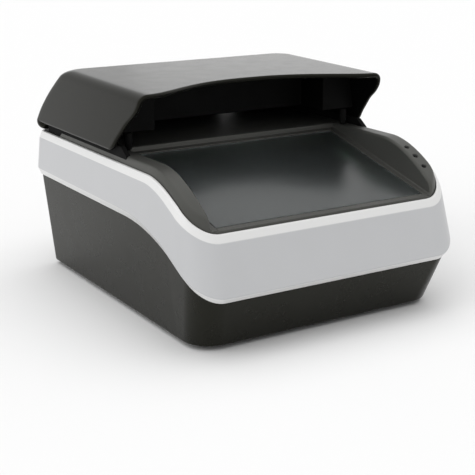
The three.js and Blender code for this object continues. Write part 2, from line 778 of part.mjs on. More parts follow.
const hoodHalfAt = (z) => {
  const share = (z - hoodSkirtHeight) / (hoodTopHeight - hoodSkirtHeight);
  return (hoodBottomWidth + (hoodTopWidth - hoodBottomWidth) * share) / 2;
};
const hoodRearAt = (z) => {
  const share = Math.max(0, (z - hoodSkirtHeight) / (hoodTopHeight - hoodSkirtHeight));
  return hoodRearReach - hoodRearLean * share ** hoodRearPower;
};
const hoodLevels = 8;

// The hood's outer form, or drawn in by a wall for the space inside it
function hoodForm(inset, bottom) {
  const rings = [];
  const top = hoodTopHeight - inset;
  const ringAt = (z, draw) => {
    const share = Math.max(0, (z - hoodSkirtHeight) / (hoodTopHeight - hoodSkirtHeight));
    const corner = hoodCorner + (hoodTopCorner - hoodCorner) * share;
    const round = Math.max(corner - inset, leastRound) + draw / 2;
    const ring = planRing({
      half: hoodHalfAt(z + inset) - inset - draw,
      front: hoodFront - overrun,
      rear: hoodRearAt(z) - inset - draw,
      frontRound: round,
      rearRound: round,
      rows: [0],
    });
    return raised(ring, (y) => z + hoodTopFall * y * share);
  };
  const straightTop = top - hoodRound;
  for (let i = 0; i <= hoodLevels; i += 1) {
    rings.push(ringAt(bottom + (straightTop - bottom) * i / hoodLevels, 0));
  }
  for (let i = 1; i <= shoulderSteps; i += 1) {
    const angle = Math.PI / 2 * i / shoulderSteps;
    rings.push(ringAt(straightTop + hoodRound * Math.sin(angle), hoodRound * (1 - Math.cos(angle))));
  }
  return loft(rings, false);
}

// Everything in front of the side walls' raked edge
function rakeCutter() {
  const height = hoodTopHeight - hoodSkirtHeight;
  const edge = rakeHeightShares.map((share, i) =>
    new THREE.Vector3(0, hoodFront + rakeDepth * rakeReachShares[i], hoodSkirtHeight + height * share));
  const curve = new THREE.CatmullRomCurve3(edge).getPoints(rakeHeightShares.length * 2);
  const outline = curve.map((point) => [point.y, point.z]);
  const front = hoodFront - 2 * overrun;
  const half = hoodBottomWidth / 2 + overrun;
  return solid(sideSlab([
    [hoodFront, hoodTopHeight + overrun], ...outline,
    [hoodFront + rakeDepth * rakeReachShares.at(-1), hoodSkirtHeight - overrun],
    [front, hoodSkirtHeight - overrun], [front, hoodTopHeight + overrun],
  ], [-half, half]));
}

// Everything in front of the lip's curve, seen from above
function lipCutter() {
  const halfChord = hoodTopWidth / 2 - hoodRound;
  const [middlePower, cornerPower] = lipPowers;
  const arc = [];
  for (let i = 0; i <= roundSides; i += 1) {
    const share = 1 - 2 * i / roundSides;
    const depth = hoodLipDepth * (1 - Math.abs(share) ** middlePower) ** cornerPower;
    arc.push([halfChord * share, hoodFront + depth]);
  }
  const front = hoodFront - 2 * overrun;
  return solid(planSlab([...arc, [-halfChord, front], [halfChord, front]],
    [hoodSkirtHeight - overrun, hoodTopHeight + overrun]));
}

const hingeSpans = (side) => {
  const middle = side * hingePlace;
  const ear = hingeEarWidth / 2;
  return {
    ear: [middle - ear, middle + ear],
    notch: [middle - ear - gap, middle + ear + gap],
    knuckles: [
      [middle - ear - gap - knuckleWidth, middle - ear - gap],
      [middle + ear + gap, middle + ear + gap + knuckleWidth],
    ],
  };
};
const onHinge = (radius, span, sides = roundSides) =>
  solid(rod('x', radius, [hingeY, hingeZ], span, sides));

function makeHoodShell() {
  const half = hoodHalfAt(hoodSkirtHeight);
  const roll = onHinge(hingeRadius, [-half, half]).intersect(hoodForm(0, hoodSkirtHeight - overrun));
  let shell = hoodForm(0, hoodSkirtHeight).add(roll);
  let space = hoodForm(hoodWall, hoodSkirtHeight - overrun);
  const inside = half - hoodWall;
  const lowFront = solid(box([-inside, inside], [hingeY - hingeRadius - overrun, hingeY],
    [hoodSkirtHeight - overrun, hingeZ]));
  space = space.add(lowFront).add(onHinge(hingeRadius - hoodWall, [-inside, inside]));
  const skirtEnd = hingeY - hingeRadius - gap;
  const below = solid(box([-half - overrun, half + overrun], [hoodFront - overrun, skirtEnd],
    [hoodSkirtHeight - 2 * overrun, hoodSkirtHeight]));
  for (const side of [-1, 1]) {
    for (const span of hingeSpans(side).knuckles) {
      space = space.subtract(onHinge(hingeRadius, span));
    }
  }
  shell = shell.subtract(space).subtract(below).subtract(rakeCutter()).subtract(lipCutter());
  for (const side of [-1, 1]) {
    const spans = hingeSpans(side);
    shell = shell.subtract(onHinge(hingeRadius + hingeRelief, spans.notch));
    const bore = [spans.knuckles[0][0] - gap, spans.knuckles[1][1] + gap];
    shell = shell.subtract(onHinge(pinRadius + gap, bore, smallSides));
    const boss = rod('z', linerBossRadius, [side * linerTabPlace, linerScrewY],
      [linerTabHeight + linerThickness + gap, hoodTopHeight - hoodWall / 2]);
    const hole = rod('z', screwRadius + gap, [side * linerTabPlace, linerScrewY],
      [linerTabHeight, linerTabHeight + linerScrewLength + 3 * gap], smallSides);
    shell = shell.add(solid(boss)).subtract(solid(hole));
  }
  return shell;
}

const linerBack = linerFront + pocketDepth;
const linerScrewY = linerBack + linerThickness + linerTabReach / 2;

function makeLiner() {
  const outer = hoodBottomWidth / 2;
  const t = linerThickness;
  const plan = [
    [-outer, linerFront], [-pocketHalfWidth + t, linerFront], [-pocketHalfWidth + t, linerBack],
    [pocketHalfWidth - t, linerBack], [pocketHalfWidth - t, linerFront], [outer, linerFront],
    [outer, linerFront + t], [pocketHalfWidth, linerFront + t], [pocketHalfWidth, linerBack + t],
    [-pocketHalfWidth, linerBack + t], [-pocketHalfWidth, linerFront + t], [-outer, linerFront + t],
  ];
  let liner = solid(planSlab(plan, [linerBottom, hoodTopHeight + overrun]));
  for (const side of [-1, 1]) {
    const middle = side * linerTabPlace;
    const tab = box([middle - linerTabWidth / 2, middle + linerTabWidth / 2],
      [linerBack + t / 2, linerBack + t + linerTabReach], [linerTabHeight, linerTabHeight + t]);
    const hole = rod('z', screwRadius + gap, [middle, linerScrewY],
      [linerTabHeight - overrun, linerTabHeight + overrun], smallSides);
    liner = liner.add(solid(tab)).subtract(solid(hole));
  }
  return liner.intersect(hoodForm(hoodWall + gap, hoodSkirtHeight - overrun));
}

function addHood() {
  const hood = new THREE.Group();
  scanner.add(hood);
  addPiece('hood_shell', makeHoodShell(), 'darkHousing', hood);
  addPiece('hood_liner', makeLiner(), 'black', hood);
  for (const [side, word] of [[-1, 'left'], [1, 'right']]) {
    const x = side * (recessWidth / 2 + bumperRadius + gap);
    const bumper = rod('z', bumperRadius, [x, linerFront + linerThickness / 2],
      [cheekAt(linerFront) + gap, linerBottom - gap], smallSides);
    addPiece(`hood_bumper_${word}`, solid(bumper), 'rubber', hood);
    const screw = makeScrew(side * linerTabPlace, linerScrewY, linerTabHeight, 1, linerScrewLength);
    addPiece(`liner_screw_${word}`, screw, 'steel', hood);
  }
}

function addHinges() {
  const base = edgeHeight + gap;
  for (const [side, word] of [[-1, 'left'], [1, 'right']]) {
    const spans = hingeSpans(side);
    const foot = box(spans.ear, [hingeY - hingeRadius - hingeFootReach, hingeY + hingeRadius / 2],
      [base, base + hingeFootThickness]);
    const stem = box(spans.ear, [hingeY - hingeRadius / 2, hingeY + hingeRadius / 2], [base, hingeZ]);
    const screwAxis = [side * hingePlace, hingeScrewY];
    const hole = rod('z', screwRadius + gap, screwAxis, [0, hoodTopHeight], smallSides);
    const bracket = solid(foot).add(solid(stem)).add(onHinge(hingeRadius, spans.ear))
      .subtract(onHinge(pinRadius + gap, [spans.ear[0] - gap, spans.ear[1] + gap], smallSides))
      .subtract(solid(hole));
    addPiece(`hinge_bracket_${word}`, bracket, 'darkHousing');
    addPiece(`hinge_pin_${word}`,
      onHinge(pinRadius, [spans.knuckles[0][0], spans.knuckles[1][1]], smallSides), 'steel');
    addPiece(`bracket_screw_${word}`,
      makeScrew(side * hingePlace, hingeScrewY, base + hingeFootThickness, -1), 'steel');
  }
}

// Assembly

addPiece('base_shell', makeBaseShell(), 'darkHousing');
addPiece('bottom_plate', makeBottomPlate(), 'darkHousing');
addPiece('silver_band', makeBand(), 'silver');
addPiece('top_deck', makeDeck(), 'darkHousing');
addSeals();
addGlass();
addOptics();
addElectronics();
addLights();
addFeet();
screwPlaces().forEach(([x, y], i) => {
  addPiece(`bottom_screw_${i + 1}`, makeScrew(x, y, footHeight + screwHeadHeight + gap, 1), 'steel');
});
addHinges();
addHood();

export default scanner;
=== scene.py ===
"""Looks of the desktop document scanner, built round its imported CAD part.

Lengths are in millimetres until a mesh is made.
"""

import json
import math
import random

import bmesh
import bpy
from mathutils import Matrix, Vector


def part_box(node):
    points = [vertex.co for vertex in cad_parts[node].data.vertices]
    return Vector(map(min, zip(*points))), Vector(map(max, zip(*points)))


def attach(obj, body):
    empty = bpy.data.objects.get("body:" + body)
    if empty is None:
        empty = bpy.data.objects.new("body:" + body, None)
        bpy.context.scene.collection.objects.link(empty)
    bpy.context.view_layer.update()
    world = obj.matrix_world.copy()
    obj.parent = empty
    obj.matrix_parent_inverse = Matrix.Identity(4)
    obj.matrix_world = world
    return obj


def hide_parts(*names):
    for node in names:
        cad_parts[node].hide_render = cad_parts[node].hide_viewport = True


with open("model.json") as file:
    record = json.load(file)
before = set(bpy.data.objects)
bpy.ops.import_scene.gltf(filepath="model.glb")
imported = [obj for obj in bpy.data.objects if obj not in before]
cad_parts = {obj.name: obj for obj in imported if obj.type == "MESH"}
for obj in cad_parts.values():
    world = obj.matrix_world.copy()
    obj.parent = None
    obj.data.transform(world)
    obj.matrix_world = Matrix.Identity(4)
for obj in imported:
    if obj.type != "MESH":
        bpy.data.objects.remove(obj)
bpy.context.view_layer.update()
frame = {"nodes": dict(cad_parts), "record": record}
random.seed(7)

MM = 0.001
MERGE = 0.004  # points this near are one
TRIM_SHARE = 0.45  # of a side that a rounding may take
GAP = 0.3  # between pieces that touch on the real thing

# Body outline, as in the CAD part
BODY_HALF = 84.7
BODY_END = 100.0
FRONT_CORNER = 18.0
REAR_CORNER = 9.0
BASE_CORNER = 15.0
BASE_REAR = 6.0
FOOT_HEIGHT = 2.5
BASE_INSET = (13.5, 8.0, 4.6)  # insets are given for the front, the sides and the rear
BASE_STEP = 1.2  # from the band's inside to the housing's wall
BASE_RISE = 3.0  # of that wall above the lip
WALL = 2.5
LIP_INSET = (2.4, 2.6, 1.1)
LIP_REVEAL = 0.5
LIP_DROP = 4.7
LIP_DROP_FRONT = 3.0
UPPER_INSET = (7.6, 1.5, 1.0)
BEVEL_IN = 1.7
BEVEL_UP = 4.1
BAND_WALL = 2.4
BAND_FLAT = 1.5
# Rounding at each corner of the section, from the lip outwards and up
BAND_ROUNDS = (0.4, 0.8, 0.5, 0.6, 0.3, 1.0, 0.4)
BASE_ROUNDS = (2.4, 0.3, 0.0, 0.3, 0.3, 0.3)
CREASE_TOP, CREASE_FALL, CREASE_RUN = 62.0, 29.8, 80.0
EDGE_TOP, EDGE_FALL, EDGE_RUN, EDGE_POWER = 84.4, 22.4, 47.0, 1.8
EDGE_FRONT = -BODY_END + UPPER_INSET[0] + BEVEL_IN
CORNER_STEPS = 14  # of an outline's corner
# Places along the sides where every outline has a point
SIDE_ROWS = [-66 + 2.0 * i for i in range(14)] + [-36, -28, -20, -10, 5, 20, 40, 60, 75]

# Deck
SHOULDER = 2.4
CROWN = 4.15
WELL_START, WELL_RAMP = 66.0, 4.0
RECESS_HALF = 69.0
RECESS_DRAFT = 0.3
RECESS_REAR = 2.0
RECESS_TILT = math.radians(14)
RECESS_SLOPE = math.tan(RECESS_TILT)
RECESS_LIFT = 1.2
STEP_ROUND = 0.8  # of the step behind the glass
REBATE = 4.4
DECK_SKIN = 1.2
DECK_SKIRT = 5.0  # how far the deck's border goes down behind the band
BORDER_DROP = 0.25  # where the border starts to round over
# Shares of the way inwards from the outline, close together where the deck rounds over
EDGE_SHARES = (0, 0.004, 0.015, 0.035, 0.065, 0.105, 0.155, 0.215, 0.285, 0.365)
GLASS_HALF, GLASS_HALF_LENGTH, GLASS_THICK = 65.0, 43.0, 3.0

# Hood
HOOD_HALF_LOW, HOOD_HALF_HIGH = 83.0, 77.5
HOOD_LOW, HOOD_HIGH = 90.0, 122.9
HOOD_FALL = 0.016
HOOD_WALL = 2.6
HOOD_ROUND = 4.5
HOOD_REAR, HOOD_LEAN, HOOD_POWER = 99.0, 31.0, 1.45
HOOD_CORNER_LOW, HOOD_CORNER_HIGH = 5.0, 7.0
HOOD_FRONT = -32.4
LIP_DEPTH = 22.4
LIP_POWERS = (2.5, 1.8)
RAKE_DEPTH = 24.0
RAKE_HEIGHTS = (1, 0.9, 0.78, 0.64, 0.5, 0.36, 0.2, 0.06, 0)
RAKE_REACHES = (0, 0.04, 0.1, 0.26, 0.5, 0.68, 0.88, 1.03, 1.18)
HINGE_Y, HINGE_Z, HINGE_R = 94.0, 89.8, 5.0
HINGE_X = 50.0
EAR_WIDTH = 12.0
RIM_ROUND = 1.1
SEAM_SHARE = 0.35  # how far the top's seam reaches from the rear to the lip
ROLL_EDGE = 0.6  # rounding of the rolled edge beside a bracket
NOTCH_PLAY = 3.0  # round the roll where a bracket passes the hood
BRACKET_FRONT, BRACKET_FOOT, BRACKET_REAR = 73.0, 2.4, 2.5
THREAD_CREST, THREAD_ROOT, THREAD_PITCH = 1.4, 1.12, 0.56

# Status lights
LIGHT_X, LIGHT_FIRST, LIGHT_PITCH = 73.3, -76.5, 7.4

# Sockets: middle in x and z, half size in x and z, and the y of the ends
DATA_PLACE, DATA_HALF, DATA_ENDS = (24.0, 17.4), (6.0, 5.5), (79.94, 95.94)
POWER_PLACE, POWER_HALF, POWER_ENDS = (-16.0, 17.4), (4.5, 5.5), (81.94, 95.94)
SOCKET_PLAY = 0.4  # between a socket and the housing
WALL_CUT = (80.0, 112.0)  # y from and to of the cut through the rear wall
MOUTH_END = 110.0  # y past the rear, for cuts that are open there

# Optics
OPTIC_HALF, OPTIC_WALL = 62.5, 2.0
OPTIC_DEPTH = 6 * math.cos(RECESS_TILT) + 1.8  # below the glass's face
LAMP_BAR_WIDTH, LAMP_BAR_THICK = 6.0, 1.6
CHIP_COUNT, CHIP_PITCH = 12, 5
CHIP_HALF_LENGTH, CHIP_HALF_WIDTH, CHIP_RISE = 1.4, 1.1, 0.7

# Light
FLOOR_TONE = 0.82
SURROUND = 0.56  # strength of the world for all but the camera and the gloss
MIRRORED = 1.0  # its strength for glossy rays
SUNS = (  # name, where it comes from, power, width in degrees
    ("key", (-0.86, -0.08, 0.50), 0.9, 60),
    ("top", (0.05, 0.05, 1.0), 1.6, 80),
    ("rim", (0.56, 0.82, 0.12), 0.02, 16),
)
FLOOR_REACH = 6.0  # metres

# Camera, fitted to the photograph: lens and sensor in mm, place and direction in metres
CAMERA_LENS, CAMERA_SENSOR, CAMERA_NEAR = 85.03, 36, 0.02
CAMERA_PLACE = (-0.33226, -0.536, 0.21404)
CAMERA_TOWARDS = (0.5054, 0.8150, -0.2834)

# Heights


def crease_at(y):
    share = max(0.0, 1 - (y + BODY_END) / CREASE_RUN)
    return CREASE_TOP - CREASE_FALL * share**2


def edge_at(y):
    share = min(1.0, max(0.0, 1 - (y - EDGE_FRONT) / EDGE_RUN))
    return EDGE_TOP - EDGE_FALL * share**EDGE_POWER


def lip_at(y):
    share = (CREASE_TOP - crease_at(y)) / CREASE_FALL
    return crease_at(y) - LIP_DROP + (LIP_DROP - LIP_DROP_FRONT) * share


def smoothstep(t):
    t = min(1.0, max(0.0, t))
    return t * t * (3 - 2 * t)


# Mesh helpers


def quarter(steps, first=0):
    """The angles that part a quarter turn into equal steps."""
    return [math.pi / 2 * i / steps for i in range(first, steps + 1)]


def across(half, steps):
    """Places from one side to the other, in equal steps."""
    return [half * (-1 + 2 * j / steps) for j in range(steps + 1)]


def box_of(node):
    """Lowest and highest corner of a CAD node, in millimetres."""
    return [Vector(corner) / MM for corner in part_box(node)]


def plan_middle(node, z=0):
    """The middle of a CAD node seen from above, at a height."""
    low, high = box_of(node)
    return (low.x + high.x) / 2, (low.y + high.y) / 2, z


def raw_mesh(name, points, faces):
    mesh = bpy.data.meshes.new(name)
    mesh.from_pydata([(x * MM, y * MM, z * MM) for x, y, z in points], [], faces)
    return mesh


def new_mesh(name, points, faces, body, slot, node=None, smooth=40, turn=True):
    """A piece from points in millimetres. It rides on a CAD body and may stand for a CAD node."""
    return finish_mesh(name, raw_mesh(name, points, faces), body, slot, node, smooth, turn=turn)


def tidy_mesh(mesh, merge=True, turn=True):
    """Joins points that lie together, turns the faces outwards and shades them smooth."""
    work = bmesh.new()
    work.from_mesh(mesh)
    if merge:
        bmesh.ops.remove_doubles(work, verts=work.verts, dist=MERGE * MM)
    if turn:
        bmesh.ops.recalc_face_normals(work, faces=work.faces)
    work.to_mesh(mesh)
    work.free()
    mesh.shade_smooth()


def placed(name, data):
    """An object of that name in the scene."""
    item = bpy.data.objects.new(name, data)
    bpy.context.scene.collection.objects.link(item)
    return item


def sharpened(piece, angle):
    """Keeps the edges hard where the faces meet at more than an angle in degrees."""
    piece.data.set_sharp_from_angle(angle=math.radians(angle))
    return piece


def finish_mesh(name, mesh, body, slot, node, smooth, merge=True, turn=True):
    tidy_mesh(mesh, merge, turn)
    piece = sharpened(placed(name, mesh), smooth)
    mesh.materials.append(LOOKS[slot])
    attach(piece, body)
    if node:
        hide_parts(node)
    return piece


def weighted(piece):
    normals = piece.modifiers.new("weighted", "WEIGHTED_NORMAL")
    normals.keep_sharp = True
    return piece


def bevelled(piece, width, segments=3, angle=35):
    bevel = piece.modifiers.new("bevel", "BEVEL")
    bevel.width = width * MM
    bevel.segments = segments
    bevel.limit_method = "ANGLE"
    bevel.angle_limit = math.radians(angle)
    return weighted(piece)


def plan_ring(inset, corners):
    """Rounded rectangle drawn in from the body's outline: up the left side, down the right side."""
    front_in, side_in, rear_in = inset
    half = BODY_HALF - side_in
    front = -BODY_END + front_in
    rear = BODY_END - rear_in
    front_r, rear_r = corners
    left = []
    for i in range(CORNER_STEPS + 1):
        a = math.pi * (1.5 - 0.5 * i / CORNER_STEPS)
        left.append((-half + front_r + front_r * math.cos(a), front + front_r + front_r * math.sin(a)))
    left += [(-half, y) for y in SIDE_ROWS]
    for i in range(CORNER_STEPS + 1):
        a = math.pi * (1 - 0.5 * i / CORNER_STEPS)
        left.append((-half + rear_r + rear_r * math.cos(a), rear - rear_r + rear_r * math.sin(a)))
    return left + [(-x, y) for x, y in reversed(left)]


def grow(inset, by):
    return tuple(v + by for v in inset)


def raised(ring, height, along=None):
    """The ring at a height that follows y, taken from another ring's points where one is given."""
    along = along or ring
    return [(x, y, height(s[1])) for (x, y), s in zip(ring, along)]


def rounded(rings, radii, steps=4):
    """Rounds the closed section that the rings make at every station, corner by corner."""
    count = len(rings)
    out = []
    for k in range(count):
        radius = radii[k]
        if not radius:
            out.append(rings[k])
            continue
        before, here, after = rings[k - 1], rings[k], rings[(k + 1) % count]
        arcs = [[] for _ in range(steps + 1)]
        for p, q, r in zip(before, here, after):
            p, q, r = Vector(p), Vector(q), Vector(r)
            back, ahead = p - q, r - q
            trim = min(radius, TRIM_SHARE * back.length, TRIM_SHARE * ahead.length)
            start = q + back.normalized() * trim
            end = q + ahead.normalized() * trim
            for i in range(steps + 1):
                t = i / steps
                arcs[i].append(tuple(start * (1 - t) ** 2 + q * 2 * t * (1 - t) + end * t**2))
        out += arcs
    return out


def tube(rings):
    """Points and faces of closed rings in a row, with the last ring joined to the first."""
    count = len(rings[0])
    faces = []
    for k in range(len(rings)):
        a, b = k * count, ((k + 1) % len(rings)) * count
        for i in range(count):
            j = (i + 1) % count
            faces.append((a + i, a + j, b + j, b + i))
    return flat(rings), faces


def flat(rings):
    return [p for ring in rings for p in ring]


def grid(rows):
    """Points and faces of a surface that is given row by row."""
    columns = len(rows[0])
    faces = []
    for r in range(len(rows) - 1):
        for c in range(columns - 1):
            a = r * columns + c
            faces.append((a, a + 1, a + columns + 1, a + columns))
    return flat(rows), faces


def turned(profile, axis, centre, sides=40):
    """Points and faces of a form turned about X, Y or Z. The profile is [(radius, place along the axis)].

    A profile that ends where it starts makes a ring, and any other is closed with discs.
    """
    points = []
    for r, t in profile:
        for i in range(sides):
            a = 2 * math.pi * i / sides
            u, v = r * math.cos(a), r * math.sin(a)
            if axis == "x":
                points.append((centre[0] + t, centre[1] + u, centre[2] + v))
            elif axis == "y":
                points.append((centre[0] + u, centre[1] + t, centre[2] + v))
            else:
                points.append((centre[0] + u, centre[1] + v, centre[2] + t))
    faces = []
    for k in range(len(profile) - 1):
        for i in range(sides):
            j = (i + 1) % sides
            faces.append((k * sides + i, k * sides + j, (k + 1) * sides + j, (k + 1) * sides + i))
    if profile[0] == profile[-1]:
        return points, faces
    if profile[0][0] > 0:
        faces.append(tuple(range(sides)))
    if profile[-1][0] > 0:
        last = (len(profile) - 1) * sides
        faces.append(tuple(last + i for i in reversed(range(sides))))
    return points, faces


def rounded_rod(radius, low, high, edge, steps=4):
    """Profile of a rod with rounded ends, for turned()."""
    profile = [(0.0, low)]
    for a in quarter(steps):
        profile.append((radius - edge + edge * math.sin(a), low + edge - edge * math.cos(a)))
    for a in quarter(steps):
        profile.append((radius - edge + edge * math.cos(a), high - edge + edge * math.sin(a)))
    profile.append((0.0, high))
    return profile


def block(low, high, edge, matrix=None):
    """Points and faces of a box with rounded edges all round."""
    work = bmesh.new()
    bmesh.ops.create_cube(work, size=1)
    for v in work.verts:
        v.co = Vector([low[i] + (v.co[i] + 0.5) * (high[i] - low[i]) for i in range(3)])
    bmesh.ops.bevel(work, geom=work.edges[:], offset=edge, segments=2, profile=0.5, affect="EDGES")
    if matrix:
        work.transform(matrix)
    work.verts.index_update()
    points = [tuple(v.co) for v in work.verts]
    faces = [tuple(v.index for v in f.verts) for f in work.faces]
    work.free()
    return points, faces


def bar(place, half, ends, edge):
    """A block that runs along y: its middle and half size in x and z, and the y of its ends."""
    (x, z), (half_x, half_z), (start, end) = place, half, ends
    return block((x - half_x, start, z - half_z), (x + half_x, end, z + half_z), edge)


def together(*parts):
    """Several parts, each points and faces, as one."""
    points, faces = [], []
    for part_points, part_faces in parts:
        offset = len(points)
        points += part_points
        faces += [tuple(i + offset for i in face) for face in part_faces]
    return points, faces


def moved(part, matrix):
    points, faces = part
    return [tuple(matrix @ Vector(p)) for p in points], faces


# Materials


class Nodes:
    """Short ways to add shader nodes to one material."""

    def __init__(self, name):
        self.material = bpy.data.materials.new(name)
        self.material.use_nodes = True
        self.tree = self.material.node_tree
        self.shader = self.tree.nodes["Principled BSDF"]
        self.coordinates = self.add("ShaderNodeTexCoord").outputs["Object"]

    def add(self, kind):
        return self.tree.nodes.new(kind)

    def link(self, source, target):
        self.tree.links.new(source, target)

    def noise(self, scale, detail=3.0, rough=0.55, stretch=None):
        node = self.add("ShaderNodeTexNoise")
        node.inputs["Scale"].default_value = scale
        node.inputs["Detail"].default_value = detail
        node.inputs["Roughness"].default_value = rough
        source = self.coordinates
        if stretch:
            mapping = self.add("ShaderNodeMapping")
            mapping.inputs["Scale"].default_value = stretch
            self.link(source, mapping.inputs["Vector"])
            source = mapping.outputs["Vector"]
        self.link(source, node.inputs["Vector"])
        return node.outputs["Fac"]

    def span(self, source, low, high, start=0.3, end=0.7):
        node = self.add("ShaderNodeMapRange")
        node.inputs["From Min"].default_value = start
        node.inputs["From Max"].default_value = end
        node.inputs["To Min"].default_value = low
        node.inputs["To Max"].default_value = high
        self.link(source, node.inputs["Value"])
        return node.outputs["Result"]

    def blend(self, factor, low, high):
        node = self.add("ShaderNodeMix")
        node.data_type = "RGBA"
        self.link(factor, node.inputs["Factor"])
        for value, socket in ((low, node.inputs["A"]), (high, node.inputs["B"])):
            if isinstance(value, tuple):
                socket.default_value = (*value, 1)
            else:
                self.link(value, socket)
        return node.outputs["Result"]

    def multiply(self, a, b):
        node = self.add("ShaderNodeMath")
        node.operation = "MULTIPLY"
        self.link(a, node.inputs[0])
        self.link(b, node.inputs[1])
        return node.outputs["Value"]

    def slope(self, start, end):
        """0 on upright faces, 1 on faces that lean up or down."""
        split = self.add("ShaderNodeSeparateXYZ")
        self.link(self.tree.nodes["Texture Coordinate"].outputs["Normal"], split.inputs["Vector"])
        size = self.add("ShaderNodeMath")
        size.operation = "ABSOLUTE"
        self.link(split.outputs["Z"], size.inputs[0])
        return self.span(size.outputs["Value"], 0.0, 1.0, start, end)

    def bump(self, height, depth):
        node = self.add("ShaderNodeBump")
        node.inputs["Strength"].default_value = 1.0
        node.inputs["Distance"].default_value = depth
        self.link(height, node.inputs["Height"])
        return node.outputs["Normal"]


# Noise scales per metre, of the colour's drift, the rubbed places and the sheen
DRIFT_SCALE, RUB_SCALE, SHEEN_SCALE = 45.0, 160.0, 90.0
RUBBED_FROM = (0.52, 0.62)  # pointiness at which rubbing starts and is full
HIGHLIGHT_FROM = (0.31, 0.37)  # lean at which the painted highlight starts and is full
WORN_GAIN, WORN_LIFT = 1.25, 0.03  # of the colour where it is rubbed


def finish(name, color, rough, metal=0.0, grain=0.5, grain_depth=0.01, mottle=0.06, wear=0.25, swing=0.05,
           stretch=None, coat=0.0, coat_rough=0.1, glass=0.0, ior=1.5, painted_highlight=None, tint=(1.0, 1.0, 1.0)):
    """A procedural finish: colour that drifts, uneven sheen, a fine grain and rubbed edges.

    The grain's size and depth are in mm, and the colour for faces that lean, where one is given, is a
    painted highlight on them.
    """
    nodes = Nodes(name)
    shader = nodes.shader
    dark = tuple(c * (1 - mottle) for c in color)
    light = tuple(min(1.0, c * (1 + mottle)) for c in color)
    base = nodes.blend(nodes.span(nodes.noise(DRIFT_SCALE, 4.0), 0.0, 1.0), dark, light)
    fine = nodes.noise(1.0 / (grain * MM), 2.0, 0.6, stretch)
    if wear:
        edges = nodes.add("ShaderNodeNewGeometry").outputs["Pointiness"]
        uneven = nodes.span(nodes.noise(RUB_SCALE), 0.2, 1.0)
        rubbed = nodes.multiply(nodes.span(edges, 0.0, wear, *RUBBED_FROM), uneven)
        worn = tuple(min(1.0, c * WORN_GAIN + WORN_LIFT) for c in color)
        base = nodes.blend(rubbed, base, worn)
    # Painted highlight: faces that lean up or down, such as the band's bevels, get a lighter colour than the
    # rest
    if painted_highlight:
        base = nodes.blend(nodes.slope(*HIGHLIGHT_FROM), base, painted_highlight)
    nodes.link(base, shader.inputs["Base Color"])
    shader.inputs["Roughness"].default_value = rough
    if swing:
        patchy = nodes.span(nodes.noise(SHEEN_SCALE, 3.0), max(0.0, rough - swing), min(1.0, rough + swing))
        nodes.link(patchy, shader.inputs["Roughness"])
    shader.inputs["Metallic"].default_value = metal
    shader.inputs["Coat Weight"].default_value = coat
    shader.inputs["Coat Roughness"].default_value = coat_rough
    shader.inputs["Transmission Weight"].default_value = glass
    shader.inputs["IOR"].default_value = ior
    shader.inputs["Specular Tint"].default_value = (*tint, 1)
    nodes.link(nodes.bump(fine, grain_depth * MM), shader.inputs["Normal"])
    return nodes.material


# Tints of the gloss
WARM = (1.0, 1.0, 0.8)
GREYISH = (1.0, 1.0, 0.93)

LOOKS = {
    name: finish(name, *values, **options)
    for name, values, options in (
        ("dark_housing", ((0.0072, 0.0072, 0.0058), 0.28),
         {"grain_depth": 0.0015, "mottle": 0.05, "wear": 0.04, "swing": 0.02, "ior": 1.27, "tint": WARM}),
        ("deck_housing", ((0.046, 0.0465, 0.043), 0.44),
         {"grain": 0.45, "grain_depth": 0.035, "mottle": 0.05, "wear": 0.12, "swing": 0.03, "ior": 1.48,
          "tint": GREYISH}),
        ("hood_housing", ((0.0045, 0.0045, 0.0036), 0.20),
         {"grain_depth": 0.0015, "mottle": 0.04, "wear": 0.04, "swing": 0.015, "ior": 1.24, "tint": WARM}),
        ("silver_band", ((0.50, 0.505, 0.515), 0.34),
         {"metal": 0.25, "grain": 0.12, "grain_depth": 0.003, "mottle": 0.01, "wear": 0.15, "swing": 0.02,
          # the lighter colour on the band's upper and lower bevels is a painted highlight
          "coat": 0.15, "coat_rough": 0.25, "painted_highlight": (0.72, 0.72, 0.715)}),
        ("document_glass", ((0.42, 0.48, 0.48), 0.28),
         {"grain": 25.0, "grain_depth": 0.002, "mottle": 0.02, "wear": 0.0, "swing": 0.0, "glass": 1.0}),
        ("rubber", ((0.0035, 0.0035, 0.0034), 0.8),
         {"grain": 0.4, "grain_depth": 0.03, "mottle": 0.15, "wear": 0.02, "ior": 1.22}),
        ("black_plastic", ((0.0016, 0.0016, 0.0015), 0.6),
         {"grain": 0.4, "grain_depth": 0.012, "wear": 0.01, "ior": 1.16}),
        ("circuit_board", ((0.012, 0.10, 0.035), 0.35), {"grain": 1.2, "grain_depth": 0.02, "mottle": 0.12}),
        ("plated_steel", ((0.55, 0.56, 0.57), 0.28),
         {"metal": 1.0, "grain": 0.3, "grain_depth": 0.004, "stretch": (1, 6, 1)}),
        ("mirror", ((0.86, 0.88, 0.9), 0.02),
         {"metal": 1.0, "grain": 6.0, "grain_depth": 0.0005, "mottle": 0.01, "wear": 0.0, "swing": 0.01}),
        ("lamp", ((0.78, 0.77, 0.70), 0.45), {"grain": 0.8, "grain_depth": 0.01, "mottle": 0.04}),
        ("status_lens", ((0.003, 0.0035, 0.003), 0.35),
         {"grain": 0.6, "grain_depth": 0.003, "wear": 0.0, "ior": 1.18}),
        ("camera_glass", ((0.5, 0.42, 0.6), 0.02),
         {"grain": 3.0, "grain_depth": 0.0005, "mottle": 0.03, "wear": 0.0, "swing": 0.01, "glass": 1.0,
          "ior": 1.6}),
    )
}

for entry in frame["record"]["subparts"]:
    carried = frame["nodes"][entry["node"]]
    carried.data.materials.clear()
    carried.data.materials.append(LOOKS[entry["material_slot"]])


# Band and lower housing

